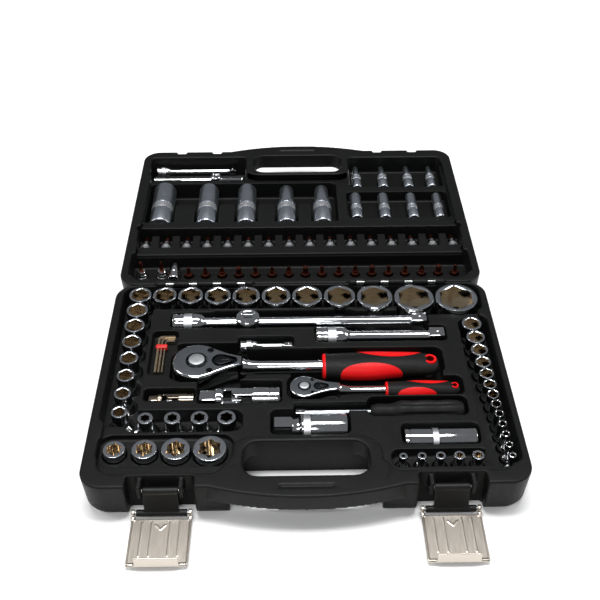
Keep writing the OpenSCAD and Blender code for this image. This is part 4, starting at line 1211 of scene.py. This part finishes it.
def joint_socket(scale, drive):
    """Driven yoke along X with its socket barrel and a knurled band near the mouth."""
    barrel = turned("barrel", [(13.6 * scale, 10 * scale), (14.4 * scale, 11.2 * scale),
                               (16 * scale, 11.5 * scale), (26 * scale, 11.5 * scale)]
                    + knurl_rings(31 * scale, 35 * scale, 11.4 * scale)
                    + [(38.6 * scale, 11.5 * scale), (39.6 * scale, 11.1 * scale),
                       (40 * scale, 10.4 * scale)])
    knurl(barrel, 31 * scale, 35 * scale, 0.5 * scale)
    cut(barrel, square_hole(drive + 0.3, 14 * scale, start=27 * scale))
    put(barrel, (0, 0, 0), ALONG_X)
    parts = []
    for side in (-1, 1):
        parts.append(block((0, -4.6 * scale, (side * 8.4 - 1.9) * scale),
                           (15.5 * scale, 4.6 * scale, (side * 8.4 + 1.9) * scale)))
        parts.append(drum(4.6 * scale, (side * 8.4 + 1.9) * scale, (side * 8.4 - 1.9) * scale, sides=40))
    return [barrel, forged("arms", parts, 0.55 * scale, 3, 0.5)]


def joint_cross(scale):
    """The cross: a block with four pins."""
    core = block((-4.75 * scale, -6.1 * scale, -4.75 * scale), (4.75 * scale, 6.1 * scale, 4.75 * scale))
    apply_modifier(core, "BEVEL", width=0.8 * scale * MM, segments=3)
    pin = [(-10.2 * scale, 2.4 * scale), (-9.7 * scale, 3 * scale), (9.7 * scale, 3 * scale),
           (10.2 * scale, 2.4 * scale)]
    return [core, turned("pin", pin, 32), put(turned("pin", pin, 32), (0, 0, 0), ALONG_Y)]


for prefix, scale, drive, finish, slot_name in [
        ("joint_half", 1.0, HALF_INCH, chrome, "chrome"),
        ("joint_quarter", 0.56, 0.56 * HALF_INCH, joint_steel, "joint_steel")]:
    low, high = node_box(prefix + "_cross")
    centre = (low + high) / 2
    for part, pieces in [("fork", joint_fork(scale, drive)), ("socket", joint_socket(scale, drive)),
                         ("cross", joint_cross(scale))]:
        piece = join(prefix.replace("joint", "universal") + "_" + part, pieces)
        put(piece, centre)
        paint(piece, finish if part != "cross" else zinc)
        hand_over(smooth(piece, 35), slot_name if part != "cross" else "steel", prefix + "_" + part)

# %% [markdown]
# ## Spark plug sockets
# A plug socket is a long barrel with a rubber sleeve inside that holds the plug. The larger one has a
# hexagon on its drive end, so that a spanner can turn it too.

# %% Plug sockets
def plug_socket(radius, length, nut_flats, band, bore_r):
    """A plug socket from its drive end, with the nut only when nut_flats is given."""
    nut_end = length * 0.25
    start = nut_end + 1.2 if nut_flats else 0
    first_rings = ([(start - 2, radius * 0.66), (start, radius * 0.76), (start + 5, radius * 0.80),
                    (start + 7, radius * 0.98), (start + 8, radius)] if nut_flats else
                   [(0, radius - 1.2), (0.5, radius - 0.4), (1.4, radius), (4, radius),
                    (4.4, radius - 0.5), (5.2, radius - 0.5), (5.6, radius)])
    barrel = turned("barrel", first_rings + knurl_rings(*band, radius)
                    + [(length - 1.4, radius), (length - 0.5, radius - 0.3), (length, radius - 1.0),
                       (length, bore_r + 0.6), (length - 0.8, bore_r), (22, bore_r)], 64)
    knurl(barrel, *band, 0.5, 64)
    paint(barrel, chrome, bore_chrome, chrome_knurl)
    paint_faces(barrel, 1, bore_faces(21, length + 1))
    paint_faces(barrel, 2, band_faces(*band, radius))
    if not nut_flats:
        return smooth(cut(barrel, square_hole(HALF_INCH + 0.3, 13)))
    nut = turned("nut", [(0, nut_flats * 0.53), (0.9, nut_flats * 0.575), (nut_end - 1.0, nut_flats * 0.575),
                         (nut_end, nut_flats * 0.53), (nut_end + 2, nut_flats * 0.46)], 6)
    cut(nut, square_hole(HALF_INCH + 0.3, 13))
    return smooth(join("plug_socket", [barrel, paint(nut, chrome)]))


for node, nut_flats, band, bore_r in [("spark_plug_socket_21", 20.6, (27, 33), 10.2),
                                      ("spark_plug_socket_16", 0, (25, 30), 7.9)]:
    low, high = node_box(node)
    piece = plug_socket((high.y - low.y) / 2, high.x - low.x, nut_flats, band, bore_r)
    put(piece, start_of(low, high, "x"), ALONG_X)
    piece.name = node.replace("spark_plug_socket", "plug_socket")
    hand_over(piece, "chrome", node)

# %% [markdown]
# ## Hinge and latch pins
# The pins are cut from drawn wire, with a small chamfer at both ends. Each solid's box says where
# its pin goes.

# %% Pins
def pins(name, *nodes):
    """Chamfered pins along X for every solid of one body's nodes."""
    made = []
    for node in nodes:
        for low, high in solid_boxes(node, by_x):
            length = high.x - low.x
            radius = (high.z - low.z) / 2
            pin = turned("pin", [(0, radius * 0.7), (radius * 0.3, radius), (length / 2, radius),
                                 (length - radius * 0.3, radius), (length, radius * 0.7)], 24)
            made.append(put(pin, start_of(low, high, "x"), ALONG_X))
    return hand_over(smooth(paint(join(name, made), zinc)), "steel", *nodes)


pins("hinge_wires", "hinge_pins")
pins("latch_case_wires", "latch_case_pins")
pins("latch_plate_wire_left", "latch_plate_pin_left")
pins("latch_plate_wire_right", "latch_plate_pin_right")

# %% [markdown]
# ## Latches
# Each latch is a toggle: a black moulded link swings on the case's pin and carries a plate of
# nickel-plated spring steel. The plate is pressed: four stiffening beads and an arrow-like mark are
# pushed up from below, the outer end is turned up into a lip that hooks over the lid, and the two inner
# corners are curled round the pin. The beads and curls are laid on the sheet as rods and fused
# with it, because pressed steel has one skin with soft radii.

# %% Latch plates and links
def rod(radius, start, end, sides=16):
    """A round-ended rod between two points in millimetres."""
    start, end = Vector(start), Vector(end)
    length = (end - start).length
    piece = turned("rod", [(0, radius * 0.5), (radius * 0.4, radius), (length - radius * 0.4, radius),
                           (length, radius * 0.5)], sides)
    angles = (end - start).to_track_quat("Z", "Y").to_euler()
    return put(piece, start, [math.degrees(a) for a in angles])


def latch_plate(name, node, pin_node):
    """A pressed latch plate in the place of its node."""
    low, high = node_box(node)
    pin_low, pin_high = node_box(pin_node)
    pin = (pin_low + pin_high) / 2
    x, width = (low.x + high.x) / 2, high.x - low.x
    bottom = low.z
    outer, inner = low.y, pin.y - 4.5
    sheet, curl_r, edge_r = 1.2, 3.1, 0.9
    parts = [block((low.x + 0.6, outer, bottom), (high.x - 0.6, inner, bottom + sheet))]
    for side in (-1, 1):
        edge = x + side * (width / 2 - edge_r)
        curl_x = x + side * (width / 2 - 1.4)
        parts.append(rod(edge_r, (edge, outer + 1, bottom + edge_r), (edge, inner, bottom + edge_r)))
        parts.append(put(drum(curl_r, 1.4, -1.4, sides=32), (curl_x, pin.y, pin.z), ALONG_X))
        parts.append(block((curl_x - 1.4, inner - 1, bottom), (curl_x + 1.4, pin.y, bottom + 2.4)))
        for share in (0.30, 0.62):
            bead = x + side * width / 2 * share
            parts.append(rod(0.7, (bead, outer + 9, bottom + 0.75), (bead, inner - 3, bottom + 0.75)))
        parts.append(rod(0.6, (x, inner - 11, bottom + 1.0), (x + side * 4.2, inner - 6, bottom + 1.0)))
    parts.append(block((x - 18, outer + 0.1, bottom), (x + 18, outer + 1.3, high.z - 0.1)))
    parts.append(rod(0.75, (x - 17.6, outer + 0.8, high.z - 0.85), (x + 17.6, outer + 0.8, high.z - 0.85)))
    parts.append(rod(1.1, (x - 24, outer + 1.4, bottom + 1.1), (x + 24, outer + 1.4, bottom + 1.1)))
    plate = forged(name, parts, 0.42, 2, 0.35)
    return hand_over(paint(plate, latch_nickel), "spring_steel", node)


def moulded_copy(name, node, voxel, finish, slot_name):
    """A node's own shape with its edges rounded as a mould leaves them."""
    piece = paint(forged(name, [merged_copy(node)], voxel, 3, 0.4), finish)
    return hand_over(piece, slot_name, node)


for side in ("left", "right"):
    latch_plate("pressed_plate_" + side, "latch_plate_" + side, "latch_plate_pin_" + side)
    moulded_copy("moulded_link_" + side, "latch_link_" + side, 0.5, nylon_black, "link_plastic")

# %% [markdown]
# ## Bits
# The small bit sockets lie in a row in the lid, chromed bodies with a knurled band and a red-brown bit
# pressed in, and the loose 8 mm bits stand behind them. Four tips are modelled, slotted, cross, star
# and hexagon, and dealt out along the rows.

# %% Bit tips, bit sockets and loose bits
def bit_tip(kind, start, length, radius):
    """The working end of a bit along Z."""
    end = start + length
    if kind == "hexagon":
        return turned("tip", [(start, radius), (end - 0.5, radius), (end, radius * 0.86)], 6)
    if kind == "star":
        tip = turned("tip", [(start, radius), (end - 0.5, radius), (end, radius * 0.86)], 12)
        for vertex in tip.data.vertices:
            around = round(math.atan2(vertex.co.y, vertex.co.x) / math.tau * 12)
            if around % 2:
                vertex.co.x *= 0.76
                vertex.co.y *= 0.76
        return tip
    tip = turned("tip", [(start, radius), (start + length * 0.35, radius), (end, radius * 0.55)], 24)
    if kind == "slotted":
        for side in (-1, 1):
            wedge = block((-9, 0, start + length * 0.3), (9, 9, end + 1))
            put(wedge, (0, side * radius * 0.26 if side > 0 else -9 - radius * 0.26, 0))
            cut(tip, wedge)
        return tip
    for turn in (45, 135, 225, 315):
        notch = block((radius * 0.22, radius * 0.22, start + length * 0.4), (9, 9, end + 1))
        cut(tip, put(notch, (0, 0, 0), (0, 0, turn - 45)))
    return tip


TIP_KINDS = ["hexagon", "star", "cross", "slotted"]
bit_body = turned("bit_body", [(0, 4.9), (0.3, 5.5), (0.9, 5.9), (2.6, 5.9)] + knurl_rings(4.6, 9.6, 5.9)
                  + [(12.0, 5.9), (12.8, 5.4), (13.4, 4.9), (16.2, 4.8), (17, 4.2), (17, 2.7)], 32)
knurl(bit_body, 4.6, 9.6, 0.35, 32)
cut(bit_body, square_hole(QUARTER_INCH + 0.3, 8))
paint(bit_body, chrome_knurl, chrome)
paint_faces(bit_body, 1, lambda c, n: not 4.4 < c.z < 9.8)
smooth(bit_body)

bodies, tips = [], []
for number, (low, high) in enumerate(solid_boxes("bit_sockets", by_x)):
    standing = high.z - low.z > high.x - low.x + 2
    turn = (0, 0, 0) if standing else ALONG_Y
    start = start_of(low, high, "z" if standing else "y")
    bodies.append(put(copy_of(bit_body, "bit_body"), start, turn))
    tip = bit_tip(TIP_KINDS[number % 4], 17, 11, 2.35)
    neck = turned("neck", [(10, 2.4), (17.4, 2.4), (17.6, 2.2)], 24)
    tips.append(put(join("tip", [tip, neck]), start, turn))
bpy.data.objects.remove(bit_body)
hand_over(join("bit_socket_bodies", bodies), "chrome", "bit_sockets")
hand_over(smooth(paint(join("bit_socket_drivers", tips), bit_steel)), "bit_steel", "bit_socket_tips")

made = []
for number, (low, high) in enumerate(solid_boxes("bits_8mm", by_x)):
    length = high.z - low.z
    hexagon = turned("hexagon", [(0, 4.1), (0.6, 4.6), (length - 8.6, 4.6), (length - 8, 4.1)], 6)
    tip = bit_tip(TIP_KINDS[(number + 1) % 4], length - 8.2, 8.2, 2.0 + 0.35 * (number % 4))
    made.append(put(join("bit", [hexagon, tip]), start_of(low, high, "z")))
hand_over(smooth(paint(join("loose_bits_8mm", made), bit_steel)), "bit_steel", "bits_8mm")

low, high = node_box("bit_adaptor")
adaptor = turned("bit_holder", [(0, 4.8), (0.4, 5.4), (1.0, 5.7), (8, 5.7), (8.5, 5.2), (10, 5.2),
                                (10.5, 5.7), (22.8, 5.7), (23.6, 5.3), (24, 4.7)], 40)
cut(adaptor, square_hole(QUARTER_INCH + 0.3, 9), turned("bit_hole", [(13, 3.75), (26, 3.75)], 6))
put(adaptor, start_of(low, high, "y"), ALONG_Y)
hand_over(smooth(paint(adaptor, chrome)), "chrome", "bit_adaptor")

# %% [markdown]
# ## Hex keys
# Three small L keys are held by a red clip, a soft moulded block with rounded edges. The keys' own
# shape is right as the frame has it, so they keep their node and only get their finish, as do the
# gears, pawls and rubber sleeves hidden inside the tools.

# %% Key clip and carried-over nodes
low, high = node_box("hex_key_clip")
clip = block((low.x + 1.2, low.y + 2.4, low.z + 0.5), (high.x - 0.6, high.y - 1.6, high.z - 0.4))
apply_modifier(clip, "BEVEL", width=1.1 * MM, segments=4)
clip.name = "moulded_key_clip"
hand_over(smooth(paint(clip, clip_red)), "grip_red", "hex_key_clip")

for node, finish in [("hex_keys", key_steel), ("spark_plug_rubbers", sleeve_rubber),
                     ("ratchet_half_drive", chrome), ("ratchet_quarter_drive", chrome),
                     ("ratchet_half_pawl", dark_steel), ("ratchet_quarter_pawl", dark_steel)]:
    paint(frame["nodes"][node], finish)
    print(node, "keeps its shape, finished in", finish.name)
